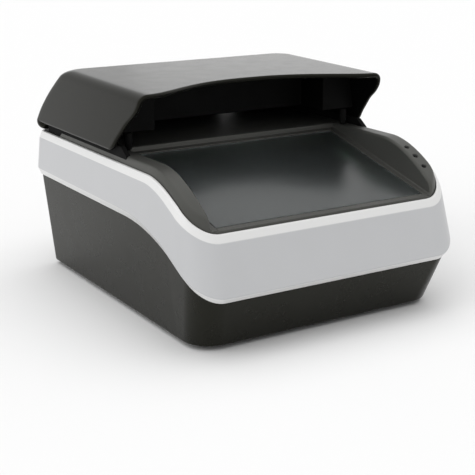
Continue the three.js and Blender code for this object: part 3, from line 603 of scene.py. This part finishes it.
lip_ring = plan_ring(LIP_INSET, (BASE_CORNER, BASE_REAR))
crease_ring = plan_ring((0, 0, 0), (FRONT_CORNER, REAR_CORNER))
upper_ring = plan_ring(UPPER_INSET, (FRONT_CORNER, REAR_CORNER))
TOP_INSET = grow(UPPER_INSET, BEVEL_IN)
top_ring = plan_ring(TOP_INSET, (FRONT_CORNER - BEVEL_IN / 2, REAR_CORNER - BEVEL_IN))


def make_band():
    inner_r = REAR_CORNER - BEVEL_IN - BAND_WALL
    inner_corners = (FRONT_CORNER - 2 * BEVEL_IN, inner_r)
    top_in = plan_ring(grow(TOP_INSET, BAND_FLAT), inner_corners)
    upper_in = plan_ring(grow(UPPER_INSET, BAND_WALL + BEVEL_IN / 2), inner_corners)
    lip_in = plan_ring(grow(LIP_INSET, BAND_WALL), (BASE_CORNER - BAND_WALL, inner_r))
    rings = [
        raised(lip_ring, lip_at, crease_ring),
        raised(crease_ring, crease_at),
        raised(upper_ring, lambda y: edge_at(y) - BEVEL_UP, top_ring),
        raised(top_ring, edge_at),
        raised(top_in, edge_at, top_ring),
        raised(upper_in, lambda y: edge_at(y) - BEVEL_UP - BAND_WALL, top_ring),
        raised(lip_in, lip_at, crease_ring),
    ]
    band = tube(rounded(rings, BAND_ROUNDS))
    weighted(new_mesh("band", *band, "body", "silver_band", "silver_band", smooth=60))


def cutter_of(part):
    """A closed form that is used up by cut()."""
    mesh = raw_mesh("cutter", *part)
    tidy_mesh(mesh)
    return placed("cutter", mesh)


def socket_cutter(place, half):
    return cutter_of(bar(place, [size + SOCKET_PLAY for size in half], WALL_CUT, 0.5))


def cut(piece, cutters, operation="DIFFERENCE"):
    """Applies the piece's modifiers and the cuts or joins, and removes the cutters."""
    for cutter in cutters:
        boolean = piece.modifiers.new("cut", "BOOLEAN")
        boolean.operation = operation
        boolean.solver = "EXACT"
        boolean.object = cutter
    evaluated = piece.evaluated_get(bpy.context.evaluated_depsgraph_get())
    mesh = bpy.data.meshes.new_from_object(evaluated)
    piece.modifiers.clear()
    piece.data = mesh
    for cutter in cutters:
        bpy.data.objects.remove(cutter)
    return piece


def make_base():
    def ring(inset, by, round_by):
        return plan_ring(grow(inset, by), (BASE_CORNER - round_by, BASE_REAR - round_by))

    step = BAND_WALL + BASE_STEP
    step_in = ring(LIP_INSET, step, BAND_WALL)
    rings = [
        raised(ring(BASE_INSET, 0, 0), lambda y: FOOT_HEIGHT),
        raised(ring(LIP_INSET, LIP_REVEAL, 0), lambda y: lip_at(y) - GAP, crease_ring),
        raised(step_in, lambda y: lip_at(y) - GAP, crease_ring),
        raised(step_in, lambda y: lip_at(y) + BASE_RISE, crease_ring),
        raised(ring(LIP_INSET, step + WALL, BAND_WALL + WALL), lambda y: lip_at(y) + BASE_RISE, crease_ring),
        raised(ring(BASE_INSET, WALL, WALL), lambda y: FOOT_HEIGHT),
    ]
    shell = tube(rounded(rings, BASE_ROUNDS, 5))
    base = new_mesh("base", *shell, "body", "dark_housing", "base_shell", smooth=50)
    cut(base, [socket_cutter(DATA_PLACE, DATA_HALF), socket_cutter(POWER_PLACE, POWER_HALF)])
    weighted(sharpened(base, 50))


# Deck

DECK_INSET = grow(TOP_INSET, BAND_FLAT + GAP)
DECK_HALF = BODY_HALF - DECK_INSET[1]
DECK_FRONT = -BODY_END + DECK_INSET[0]
DECK_REAR = BODY_END - DECK_INSET[2]
DECK_R = FRONT_CORNER - 2 * BEVEL_IN
DECK_REAR_R = REAR_CORNER - 2 * BEVEL_IN
GLASS_HOLE = GLASS_HALF + GAP
WALL_X = RECESS_HALF + RECESS_DRAFT  # top of the recess wall
TIP_ANGLE = math.asin((WALL_X - (DECK_HALF - DECK_R)) / DECK_R)  # where that wall meets the front corner
CHEEK_ROUND, CHEEK_FOOT = 1.8, 0.7  # most rounding at the top and the foot of the recess wall
SUNK_WIDTH = 1.2  # along the outline, where the deck starts at the band's height
STEP_START = RECESS_REAR - 0.01
FRONT_COLUMNS, STEP_COLUMNS = 40, 20
GLASS_BREAK = 0.35  # the opening's edge below the floor


def floor_at(y):
    return edge_at(EDGE_FRONT) + RECESS_LIFT + (y - DECK_FRONT) * RECESS_SLOPE


def inward(x, y):
    """Distance from the deck's outline, and how squarely the nearest outline faces the front."""
    x = abs(x)
    if y < DECK_FRONT + DECK_R and x > DECK_HALF - DECK_R:
        dx, dy = x - (DECK_HALF - DECK_R), (DECK_FRONT + DECK_R) - y
        away = math.hypot(dx, dy)
        return DECK_R - away, dy / max(away, 1e-6)
    if y > DECK_REAR - DECK_REAR_R and x > DECK_HALF - DECK_REAR_R:
        return DECK_REAR_R - math.hypot(x - (DECK_HALF - DECK_REAR_R), y - (DECK_REAR - DECK_REAR_R)), 0.0
    distances = ((DECK_HALF - x, 0.0), (y - DECK_FRONT, 1.0), (DECK_REAR - y, 0.0))
    return min(distances)


def deck_half_at(y):
    """Half of the deck's width at one place."""
    if y < DECK_FRONT + DECK_R:
        return DECK_HALF - DECK_R + math.sqrt(max(0.0, DECK_R**2 - (DECK_FRONT + DECK_R - y) ** 2))
    if y > DECK_REAR - DECK_REAR_R:
        past = y - DECK_REAR + DECK_REAR_R
        return DECK_HALF - DECK_REAR_R + math.sqrt(max(0.0, DECK_REAR_R**2 - past**2))
    return DECK_HALF


def deck_at(x, y):
    """Height of the deck, rounded over along its outline and lower in the well of the hinges."""
    depth, facing = inward(x, y)
    depth = max(0.0, depth)
    crown = CROWN * (1 - smoothstep((y - WELL_START) / WELL_RAMP))
    rise = math.sqrt(max(0.0, 1 - (1 - min(1.0, depth / SHOULDER)) ** 2))
    sunk = (edge_at(y) - edge_at(y - (BAND_FLAT + GAP) * facing)) * max(0.0, 1 - depth / SUNK_WIDTH)
    return edge_at(y) - sunk + crown * rise


def recess_at(x, y):
    return min(floor_at(y), deck_at(x, y))


def corner_y(angle):
    return DECK_FRONT + DECK_R - DECK_R * math.cos(angle)


def cheek_rows():
    """Places along a cheek, close together round the front corner."""
    rows = [corner_y(TIP_ANGLE + (math.pi / 2 - TIP_ANGLE) * (i / 24) ** 1.3) for i in range(25)]
    rows += [-72.5 + 1.7 * i for i in range(20)]
    return rows + [-37, -32, -26, -20, -14, -8, -3, 0.5, STEP_START]


def cheek_section(y):
    """From the outline over the cheek, down the recess wall, to the rebate of the glass."""
    outer = deck_half_at(y)
    low = min(floor_at(y), deck_at(WALL_X, y))
    height = max(0.0, deck_at(WALL_X, y) - low)
    fillet = min(CHEEK_ROUND, 0.6 * height, max(0.0, 0.6 * (outer - WALL_X)))
    foot = min(CHEEK_FOOT, 0.3 * height)
    inner = WALL_X + fillet
    section = [(outer, deck_at(outer, y) - DECK_SKIRT), (outer, deck_at(outer, y) - BORDER_DROP)]
    for share in EDGE_SHARES + (0.45, 0.54, 0.63, 0.72, 0.81, 0.9, 1):
        x = outer + (inner - outer) * share
        section.append((x, deck_at(x, y)))
    top = deck_at(inner, y)
    for a in quarter(6, 1):
        section.append((inner - fillet * math.sin(a), top - fillet * (1 - math.cos(a))))
    for a in quarter(4):
        section.append((RECESS_HALF - foot * (1 - math.cos(a)), low + foot * (1 - math.sin(a))))
    for x, drop in (
        (RECESS_HALF - 1.6, 0.0),
        (GLASS_HOLE + 0.5, 0.0),
        (GLASS_HOLE + 0.15, 0.08),
        (GLASS_HOLE, GLASS_BREAK),
    ):
        section.append((x, recess_at(x, y) - drop))
    return section + [(GLASS_HOLE, floor_at(y) - REBATE)]


def front_corner_rows():
    """From the border behind the band back to where the cheeks start."""
    rows = []
    for i in range(9):
        y = corner_y(TIP_ANGLE * i / 8)
        rows.append([(x, y, recess_at(x, y)) for x in across(deck_half_at(y), FRONT_COLUMNS)])
    return [[(x, y, z - DECK_SKIRT) for x, y, z in rows[0]]] + rows


def front_rows(front_edge):
    """From where the cheeks start back to the glass and down its opening."""
    start = corner_y(TIP_ANGLE)
    rows = []
    for i in range(8):
        y = start + (front_edge - 0.4 - start) * i / 7
        rows.append([(x, y, recess_at(x, y)) for x in across(GLASS_HOLE, FRONT_COLUMNS)])
    for back, drop in ((-0.15, 0.05), (0.0, GLASS_BREAK), (0.0, REBATE)):
        y = front_edge + back
        rows.append([(x, y, recess_at(x, y) - drop) for x in across(GLASS_HOLE, FRONT_COLUMNS)])
    return rows


def step_rows(rear_edge):
    """Up the opening of the glass and the step that a document is pushed against."""
    rows = []
    for y, lift in (
        (rear_edge, -REBATE),
        (rear_edge, -0.3),
        (rear_edge + 0.15, -0.06),
        (rear_edge + 0.4, 0.0),
        (RECESS_REAR - 0.5, 0.0),
        (RECESS_REAR - 0.12, 0.12),
    ):
        rows.append([(x, y, floor_at(y) + lift) for x in across(RECESS_HALF, STEP_COLUMNS)])
    for a in quarter(5):
        y = RECESS_REAR + STEP_ROUND * (1 - math.cos(a))
        top = deck_at(0, RECESS_REAR) - STEP_ROUND * (1 - math.sin(a))
        rows.append([(x, y, top) for x in across(WALL_X, STEP_COLUMNS)])
    return rows


def rear_rows():
    """Everything behind the recess, down to the border behind the band."""
    behind = [STEP_START, 2.8, 20, 40, 60, 65, 66, 66.8, 67.6, 68.4, 69.2, 70, 76, 84]
    behind += [DECK_REAR - DECK_REAR_R + DECK_REAR_R * math.sin(a) for a in quarter(12, 1)]
    rows = []
    for y in behind:
        outer = deck_half_at(y)
        drop = STEP_ROUND if y == STEP_START else 0.0
        half = [(-outer, y, deck_at(outer, y) - DECK_SKIRT), (-outer, y, deck_at(outer, y) - BORDER_DROP)]
        for share in EDGE_SHARES + (0.5, 0.75, 1):
            x = outer + (WALL_X + CHEEK_ROUND - outer) * share
            half.append((-x, y, deck_at(x, y)))
        half.append((-WALL_X, y, deck_at(WALL_X, y) - drop))
        middle = [(-WALL_X + 2 * WALL_X * j / 12, y, deck_at(0, y) - drop) for j in range(1, 12)]
        rows.append(half + middle + [(-x, y, z) for x, _, z in reversed(half)])
    return rows + [[(x, y + 0.001, z - DECK_SKIRT) for x, y, z in rows[-1]]]


def make_deck():
    glass_low, glass_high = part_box("document_glass")
    surfaces = [[[(side * x, y, z) for x, z in cheek_section(y)] for y in cheek_rows()] for side in (-1, 1)]
    surfaces += [front_corner_rows(), front_rows(glass_low.y / MM - GAP)]
    surfaces += [step_rows(glass_high.y / MM + GAP), rear_rows()]
    points, faces = together(*(facing_up(grid(rows)) for rows in surfaces))
    deck = new_mesh("deck", points, faces, "body", "deck_housing", "top_deck", smooth=35, turn=False)
    weighted(thickened(deck, DECK_SKIN))


def facing_up(part):
    """The same surface, wound so that it looks up on the whole."""
    points, faces = part
    lift = 0.0
    for face in faces:
        a, b, c, d = (Vector(points[i]) for i in face)
        lift += (c - a).cross(d - b).z
    return points, faces if lift > 0 else [face[::-1] for face in faces]


def solid(piece, thickness):
    """Thickens a surface on its inner side."""
    solidify = piece.modifiers.new("thickness", "SOLIDIFY")
    solidify.thickness = thickness * MM
    solidify.offset = -1
    return solidify


def thickened(piece, thickness):
    """Gives a surface an underside, with a hard edge along its border."""
    work = bmesh.new()
    work.from_mesh(piece.data)
    for edge in work.edges:
        if edge.is_boundary:
            edge.smooth = False
    work.to_mesh(piece.data)
    work.free()
    solid(piece, thickness)
    return piece


def on_glass():
    """Frame of the glass: x right, y up the slope, z out of the glass."""
    centre = (DECK_FRONT + RECESS_REAR) / 2
    return Matrix.Translation((0, centre, floor_at(centre))) @ Matrix.Rotation(RECESS_TILT, 4, "X")


def make_glass():
    low = (-GLASS_HALF, -GLASS_HALF_LENGTH, -GLASS_THICK)
    part = block(low, (GLASS_HALF, GLASS_HALF_LENGTH, 0), 0.45, on_glass())
    new_mesh("glass", *part, "body", "document_glass", "document_glass", smooth=30)


# Hood


def hood_share(z):
    return max(0.0, (z - HOOD_LOW) / (HOOD_HIGH - HOOD_LOW))


def hood_half(z):
    return HOOD_HALF_LOW + (HOOD_HALF_HIGH - HOOD_HALF_LOW) * hood_share(z)


def hood_rear(z):
    return HOOD_REAR - HOOD_LEAN * hood_share(z) ** HOOD_POWER


def spline(points, t):
    """Catmull-Rom through 2D points, t from 0 to 1 over the whole curve."""
    last = len(points) - 1
    at = min(last - 1e-9, max(0.0, t * last))
    i = int(at)
    f = at - i
    near = [points[max(0, min(last, i + k))] for k in (-1, 0, 1, 2)]
    return tuple(
        0.5 * (2 * b + (c - a) * f + (2 * a - 5 * b + 4 * c - d) * f * f + (3 * b - a - 3 * c + d) * f**3)
        for a, b, c, d in zip(*near)
    )


RAKE = [
    (HOOD_FRONT + RAKE_DEPTH * r, HOOD_LOW + (HOOD_HIGH - HOOD_LOW) * h)
    for h, r in zip(RAKE_HEIGHTS, RAKE_REACHES)
]
RAKE_CURVE = [spline(RAKE, i / 200) for i in range(201)]


def rake_at(z):
    """The y of the side wall's front edge at a height."""
    for (y0, z0), (y1, z1) in zip(RAKE_CURVE, RAKE_CURVE[1:]):
        if z1 <= z <= z0:
            return y0 + (y1 - y0) * (z0 - z) / max(z0 - z1, 1e-9)
    return RAKE_CURVE[0][0] if z > HOOD_LOW + 1 else RAKE_CURVE[-1][0]


LIP_CHORD = HOOD_HALF_HIGH - HOOD_ROUND


def lip_y(x):
    share = min(abs(x) / LIP_CHORD, 1.0)
    return HOOD_FRONT + LIP_DEPTH * (1 - share ** LIP_POWERS[0]) ** LIP_POWERS[1]


def hood_corner(share):
    return HOOD_CORNER_LOW + (HOOD_CORNER_HIGH - HOOD_CORNER_LOW) * share


def hood_level(half, front, rear, corner, z, share):
    """One U from the left front edge round the rear to the right front edge. It tilts with the share."""
    corner = max(corner, 0.05)
    side_end = rear - corner
    left = [(-half, front + (side_end - front) * (i / 30) ** 1.08) for i in range(30)]
    for i in range(15):
        a = math.pi * (1 - 0.5 * i / 14)
        left.append((-half + corner + corner * math.cos(a), side_end + corner * math.sin(a)))
    left += [((-half + corner) * (1 - i / 8), rear) for i in range(1, 8)]
    full = left + [(0.0, rear)] + [(-x, y) for x, y in reversed(left)]
    return [(x, y, z + HOOD_FALL * y * share) for x, y in full]


def hood_levels():
    """Up the side and rear walls, round the top edge, and inwards to a seam in the middle of the lip."""
    levels = []
    straight = HOOD_HIGH - HOOD_ROUND
    for i in range(21):
        z = HOOD_LOW + (straight - HOOD_LOW) * i / 20
        share = hood_share(z)
        levels.append(hood_level(hood_half(z), rake_at(z), hood_rear(z), hood_corner(share), z, share))
    for a in quarter(8, 1):
        z = straight + HOOD_ROUND * math.sin(a)
        draw = HOOD_ROUND * (1 - math.cos(a))
        share = hood_share(z)
        front = rake_at(z) if z < HOOD_HIGH - 0.3 else HOOD_FRONT
        corner = hood_corner(share) + draw / 2
        levels.append(hood_level(hood_half(z) - draw, front, hood_rear(z) - draw, corner, z, share))
    rear = hood_rear(HOOD_HIGH) - HOOD_ROUND
    for i in range(1, 25):
        s = i / 24
        half = LIP_CHORD * (1 - s)
        end = rear + (lip_y(0) - rear) * SEAM_SHARE * s
        levels.append(hood_level(half, lip_y(half), end, (HOOD_CORNER_HIGH + 2) * (1 - s), HOOD_HIGH, 1))
    levels[-1] = [(0.0, y, z) for _, y, z in levels[-1]]
    return levels


def make_hood():
    hood = new_mesh("hood", *grid(hood_levels()), "hood", "hood_housing", "hood_shell", smooth=60)
    face_outwards(hood, (0, 30, 400))
    mark_rim(hood.data)
    wall = solid(hood, HOOD_WALL)
    wall.use_even_offset = False
    wall.material_offset = 1
    wall.material_offset_rim = 1
    hood.data.materials.append(LOOKS["black_plastic"])
    rim = hood.modifiers.new("bevel", "BEVEL")
    rim.width = RIM_ROUND * MM
    rim.segments = 4
    rim.limit_method = "WEIGHT"
    rim.use_clamp_overlap = False
    rim.material = 0
    axis = (0, HINGE_Y, HINGE_Z)
    notch_r = HINGE_R + NOTCH_PLAY
    notches = []
    for side in (-1, 1):
        low = side * HINGE_X - EAR_WIDTH / 2 - GAP
        high = low + EAR_WIDTH + 2 * GAP
        notch = [(0, low), (notch_r, low), (notch_r, high), (0, high)]
        notches.append(cutter_of(turned(notch, "x", axis, 48)))
    cut(hood, notches)

    # The rolled rear edge: a rod between the brackets, and one with a ball end outside each bracket
    inner = HINGE_X - EAR_WIDTH / 2 - GAP
    outer = HINGE_X + EAR_WIDTH / 2 + GAP
    ball = HOOD_HALF_LOW - HINGE_R
    rolls = [rounded_rod(HINGE_R, -inner, inner, ROLL_EDGE)]
    for side in (-1, 1):
        roll = [(HINGE_R * math.sin(a), side * (ball + HINGE_R * math.cos(a))) for a in quarter(12)]
        roll += [(HINGE_R, side * (outer + ROLL_EDGE)), (HINGE_R - 0.2, side * (outer + 0.15)),
                 (HINGE_R - ROLL_EDGE, side * outer), (0, side * outer)]
        rolls.append(roll)
    cut(hood, [cutter_of(turned(roll, "x", axis, 64)) for roll in rolls], "UNION")
    sharpened(hood, 50)


def mark_rim(mesh):
    """Gives a bevel weight to the edges that only one face uses."""
    work = bmesh.new()
    work.from_mesh(mesh)
    weights = [float(edge.is_boundary) for edge in work.edges]
    work.free()
    mesh.attributes.new("bevel_weight_edge", "FLOAT", "EDGE").data.foreach_set("value", weights)


def face_outwards(piece, probe):
    """Turns the faces over if the one nearest to a point outside looks away from it."""
    mesh = piece.data
    probe = Vector(probe) * MM
    nearest = min(mesh.polygons, key=lambda f: (f.center - probe).length)
    if nearest.normal.dot(probe - nearest.center) < 0:
        mesh.flip_normals()


# Hinges


def make_hinges():
    """The two brackets on the deck. The hood's rolled edge turns between them."""
    foot_low = EDGE_TOP + GAP
    foot_high = foot_low + BRACKET_FOOT
    outline = [(BRACKET_FRONT, foot_low), (HINGE_Y + BRACKET_REAR, foot_low)]
    meet = math.degrees(math.acos((foot_high - HINGE_Z) / HINGE_R))
    # Round the hinge, from low behind it over its top to the front
    for i in range(33):
        a = math.radians(-60 + (330 - meet) * i / 32)
        outline.append((HINGE_Y + HINGE_R * math.cos(a), HINGE_Z + HINGE_R * math.sin(a)))
    outline = [p for p in outline if p[1] > foot_high or p[0] > HINGE_Y or p[1] <= foot_low]
    outline += [(86.5, foot_high), (84.5, foot_high), (75.0, foot_high), (73.6, foot_high - 0.5)]
    outline.append((BRACKET_FRONT, foot_high - 1.2))
    count = len(outline)
    faces = [tuple(range(count)), tuple(range(2 * count - 1, count - 1, -1))]
    faces += [(i, (i + 1) % count, count + (i + 1) % count, count + i) for i in range(count)]
    for side, word in ((-1, "left"), (1, "right")):
        middle = side * HINGE_X
        points = [(x, y, z) for x in (middle - EAR_WIDTH / 2, middle + EAR_WIDTH / 2) for y, z in outline]
        node = f"hinge_bracket_{word}"
        bracket = new_mesh(f"bracket_{word}", points, faces, "body", "hood_housing", node, smooth=35)
        bevelled(bracket, 0.55, 3, 40)
        make_screw(f"bracket_screw_{word}", f"hinge_screw_{word}", "body", True)


# Screws, feet, lights


def make_screw(node, name, body, head_up):
    """A pan head screw with rolled thread and a cross recess, in the place of its CAD node."""
    low, high = box_of(node)
    length = high.z - low.z
    profile = [(0, 0), (1.0, -0.02), (1.75, -0.14), (2.25, -0.42), (2.52, -0.82), (2.6, -1.3), (2.52, -1.48)]
    profile += [(THREAD_CREST, -1.5), (THREAD_CREST, -1.9)]
    at = -2.1
    while at > -length + 1.0:
        profile += [(THREAD_ROOT, at), (THREAD_CREST, at - THREAD_PITCH / 2)]
        at -= THREAD_PITCH
    profile += [(1.0, -length + 0.5), (0, -length)]
    centre = plan_middle(node)
    points, faces = turned(profile, "z", centre, 32)
    spin = Matrix.Rotation(math.radians(random.uniform(0, 90)), 4, "Z")
    turn = Matrix.Identity(4) if head_up else Matrix.Rotation(math.pi, 4, "X")
    place = Matrix.Translation(plan_middle(node, high.z if head_up else low.z)) @ turn
    points = [tuple(place @ (Vector(p) - Vector(centre))) for p in points]
    screw = new_mesh(name, points, faces, body, "plated_steel", node, smooth=38)
    arm = block((-0.38, -1.5, -1.1), (0.38, 1.5, 1), 0.08)
    arms = [moved(arm, place @ spin @ Matrix.Rotation(angle, 4, "Z")) for angle in (0, math.pi / 2)]
    sharpened(cut(screw, [cutter_of(arm) for arm in arms]), 38)


def make_feet_and_screws():
    pad = [(0, 0.3), (3.0, 0.28), (3.9, 0.2), (4.3, 0.05), (4.7, 0), (6.1, 0), (6.6, 0.12), (6.92, 0.42)]
    pad += [(7, 0.8), (7, 1.9), (6.85, 2.2), (0, 2.2)]
    for name in ("front_left", "front_right", "rear_left", "rear_right"):
        node = f"foot_{name}"
        form = turned(pad, "z", plan_middle(node), 48)
        new_mesh(f"pad_{name}", *form, "body", "rubber", node, smooth=50)
    for i in range(1, 5):
        make_screw(f"bottom_screw_{i}", f"base_screw_{i}", "body", False)


def make_lights():
    """Three lenses with their collars, flush in the right cheek and along its slope."""
    pitch = LIGHT_PITCH * math.cos(RECESS_TILT)
    rows = [LIGHT_FIRST + pitch * i for i in range(3)]
    tops = [edge_at(y) + CROWN for y in rows]
    slope = math.atan2(tops[2] - tops[0], rows[2] - rows[0])
    lens = [(0, 0.2), (0.6, 0.19), (1.05, 0.12), (1.3, 0.0), (1.4, -0.2), (1.4, -2.5), (0, -2.5)]
    collar = [(1.42, -0.25), (1.44, 0.0), (1.5, 0.07), (1.58, 0.07), (1.66, 0.0), (1.68, -0.5), (1.42, -0.5),
              (1.42, -0.25)]
    for i, (y, top) in enumerate(zip(rows, tops), 1):
        place = Matrix.Translation((LIGHT_X, y, top)) @ Matrix.Rotation(slope, 4, "X")
        form = moved(turned(lens, "z", (0, 0, 0), 32), place)
        new_mesh(f"light_{i}", *form, "body", "status_lens", f"status_light_{i}", smooth=50)
        form = moved(turned(collar, "z", (0, 0, 0), 32), place)
        new_mesh(f"light_collar_{i}", *form, "body", "black_plastic", smooth=50)


# Inside of the hood


def softened(node, name, body, slot, width, segments=2, angle=35):
    """A copy of a CAD node's form with its edges rounded, in the node's place."""
    mesh = frame["nodes"][node].data.copy()
    mesh.materials.clear()
    work = bmesh.new()
    work.from_mesh(mesh)
    bmesh.ops.remove_doubles(work, verts=work.verts, dist=0.002 * MM)
    bmesh.ops.dissolve_limit(work, angle_limit=math.radians(1), verts=work.verts, edges=work.edges)
    work.to_mesh(mesh)
    work.free()
    piece = finish_mesh(name, mesh, body, slot, node, angle, merge=False)
    return bevelled(piece, width, segments, angle)


def make_seals():
    for word in ("left", "right"):
        softened(f"light_seal_{word}", f"seal_{word}", "body", "rubber", 0.5, 3)


def make_inside_of_hood():
    """The liner with the posts and screws that hold it, and the bumpers that the hood rests on."""
    softened("hood_liner", "liner", "hood", "black_plastic", 0.5)
    stop = [(0, 0), (1.2, 0), (1.75, 0.12), (2, 0.4), (2, 1.25), (1.8, 1.3), (0, 1.3)]
    post = [(0, 109.3), (1.9, 109.3), (3.1, 109.4), (3.5, 109.9), (3.55, 118.5), (4.2, 120.0), (5.2, 121.0)]
    post.append((0, 121.0))
    for word in ("left", "right"):
        bumper, screw = f"hood_bumper_{word}", f"liner_screw_{word}"
        low, high = box_of(bumper)
        scale = (high.z - low.z) / stop[-1][1]
        form = turned([(r, t * scale) for r, t in stop], "z", plan_middle(bumper, low.z), 32)
        new_mesh(f"stop_{word}", *form, "hood", "rubber", bumper, smooth=50)
        make_screw(screw, f"hood_screw_{word}", "hood", False)
        form = turned(post, "z", plan_middle(screw), 36)
        new_mesh(f"hood_post_{word}", *form, "hood", "hood_housing", smooth=40)


# Sockets in the rear wall


def make_sockets():
    form = bar(DATA_PLACE, DATA_HALF, DATA_ENDS, 0.6)
    shell = new_mesh("data_shell", *form, "body", "plated_steel", "usb_socket", smooth=30)
    mouth = bar(DATA_PLACE, (4.3, 3.9), (86.9, MOUTH_END), 0.9)
    flare = bar(DATA_PLACE, (4.7, 4.3), (95.2, MOUTH_END), 1.0)
    sharpened(cut(shell, [cutter_of(mouth), cutter_of(flare)]), 40)
    tongue = bar(DATA_PLACE, (2.8, 1.6), (86.0, 94.6), 0.35)
    new_mesh("data_tongue", *tongue, "body", "black_plastic", smooth=35)
    strips = [
        bar((DATA_PLACE[0] + x, DATA_PLACE[1] + z), (0.5, 0.1), (86.2, 94.0), 0.06)
        for x in (-1.4, 1.4)
        for z in (-1.62, 1.62)
    ]
    new_mesh("data_contacts", *together(*strips), "body", "plated_steel", smooth=35)

    form = bar(POWER_PLACE, POWER_HALF, POWER_ENDS, 0.7)
    jack = new_mesh("power_block", *form, "body", "black_plastic", "power_socket", smooth=30)
    axis = (POWER_PLACE[0], 0, POWER_PLACE[1])
    bore = [(0, 86.44), (3.2, 86.44), (3.2, 95.3), (3.75, 95.96), (3.75, MOUTH_END), (0, MOUTH_END)]
    sharpened(cut(jack, [cutter_of(turned(bore, "y", axis, 40))]), 40)
    sleeve = [(2.85, 86.5), (2.85, 94.6), (3.15, 94.9), (3.2, 94.6), (3.2, 86.5), (2.85, 86.5)]
    pin = [(0, 86.0), (1.0, 86.0), (1.0, 93.2), (0.8, 93.9), (0.35, 94.2), (0, 94.25)]
    contacts = together(turned(sleeve, "y", axis, 40), turned(pin, "y", axis, 28))
    new_mesh("power_contacts", *contacts, "body", "plated_steel", smooth=40)


# Optics under the glass


def make_optics():
    softened("optic_box", "dark_box", "body", "black_plastic", 0.8, 3)
    softened("fold_mirror", "mirror", "body", "mirror", 0.25)
    softened("antenna_board", "antenna", "body", "circuit_board", 0.2)
    low, high = box_of("lens_barrel")
    axis = (0, 0, (low.z + high.z) / 2)
    barrel = [(0, 35.8), (7.4, 35.8), (8, 35.2)]
    for i in range(5):
        at = 34.4 - 1.5 * i
        barrel += [(8, at), (7.6, at - 0.25), (7.6, at - 0.75), (8, at - 1.0)]
    barrel += [(8, 26.2), (7.3, 25.4), (7.3, 20.6), (6.9, 19.9), (6.3, 19.8), (5.7, 21.0), (5.5, 24.0)]
    barrel.append((0, 24.0))
    form = turned(barrel, "y", axis, 48)
    new_mesh("barrel", *form, "body", "black_plastic", "lens_barrel", smooth=35)
    lens = [(0, 20.4), (1.5, 20.5), (3.0, 20.85), (4.4, 21.5), (5.35, 22.2), (5.45, 23.2), (0, 23.2)]
    form = turned(lens, "y", axis, 48)
    new_mesh("lens", *form, "body", "camera_glass", "camera_lens", smooth=50)
    depth = -OPTIC_DEPTH - LAMP_BAR_WIDTH
    first = -CHIP_PITCH * (CHIP_COUNT - 1) / 2
    for side, word in ((-1, "left"), (1, "right")):
        softened(f"lamp_bar_{word}", f"lamp_strip_{word}", "body", "circuit_board", 0.15)
        face = side * (OPTIC_HALF - OPTIC_WALL - GAP - LAMP_BAR_THICK)
        x0, x1 = sorted((face, face - side * CHIP_RISE))
        chips = []
        for i in range(CHIP_COUNT):
            along = first + CHIP_PITCH * i
            low = (x0, along - CHIP_HALF_LENGTH, depth - CHIP_HALF_WIDTH)
            high = (x1, along + CHIP_HALF_LENGTH, depth + CHIP_HALF_WIDTH)
            chips.append(block(low, high, 0.2, on_glass()))
        new_mesh(f"lamp_chips_{word}", *together(*chips), "body", "lamp", smooth=35)


# Floor, light, camera


def make_floor():
    mesh = bpy.data.meshes.new("floor")
    corners = [(x * FLOOR_REACH, y * FLOOR_REACH, 0) for x, y in ((-1, -1), (1, -1), (1, 1), (-1, 1))]
    mesh.from_pydata(corners, [], [(0, 1, 2, 3)])
    floor = placed("floor", mesh)
    nodes = Nodes("floor")
    nodes.shader.inputs["Base Color"].default_value = (FLOOR_TONE, FLOOR_TONE, FLOOR_TONE, 1)
    nodes.shader.inputs["Roughness"].default_value = 0.9
    nodes.shader.inputs["Specular IOR Level"].default_value = 0.0
    mesh.materials.append(nodes.material)


def make_world():
    """A plain surround, white where the camera sees it and in the gloss."""
    world = bpy.data.worlds.new("studio")
    bpy.context.scene.world = world
    world.use_nodes = True
    tree = world.node_tree

    def background(node, strength):
        node.inputs["Color"].default_value = (1, 1, 1, 1)
        node.inputs["Strength"].default_value = strength
        return node.outputs["Background"]

    path = tree.nodes.new("ShaderNodeLightPath")
    shader = background(tree.nodes["Background"], SURROUND)
    for ray, strength in (("Is Glossy Ray", MIRRORED), ("Is Camera Ray", 1.0)):
        mix = tree.nodes.new("ShaderNodeMixShader")
        tree.links.new(path.outputs[ray], mix.inputs["Fac"])
        tree.links.new(shader, mix.inputs[1])
        tree.links.new(background(tree.nodes.new("ShaderNodeBackground"), strength), mix.inputs[2])
        shader = mix.outputs["Shader"]
    tree.links.new(shader, tree.nodes["World Output"].inputs["Surface"])


def aimed(item, towards):
    item.rotation_mode = "QUATERNION"
    item.rotation_quaternion = Vector(towards).to_track_quat("-Z", "Y")


def make_lamps():
    for name, source, power, width in SUNS:
        light = bpy.data.lights.new(name, "SUN")
        light.energy = power
        light.angle = math.radians(width)
        lamp = placed(name, light)
        aimed(lamp, -Vector(source))
        lamp.visible_glossy = name == "rim"  # the broad lamps give no highlight


def make_camera():
    data = bpy.data.cameras.new("camera")
    data.lens = CAMERA_LENS
    data.sensor_width = CAMERA_SENSOR
    data.clip_start = CAMERA_NEAR
    camera = placed("camera", data)
    camera.location = CAMERA_PLACE
    aimed(camera, CAMERA_TOWARDS)
    bpy.context.scene.camera = camera
    bpy.context.scene.view_settings.view_transform = "Standard"


make_band()
make_base()
make_deck()
make_glass()
make_hood()
make_hinges()
make_seals()
make_inside_of_hood()
make_feet_and_screws()
make_lights()
make_sockets()
make_optics()
make_floor()
make_world()
make_lamps()
make_camera()
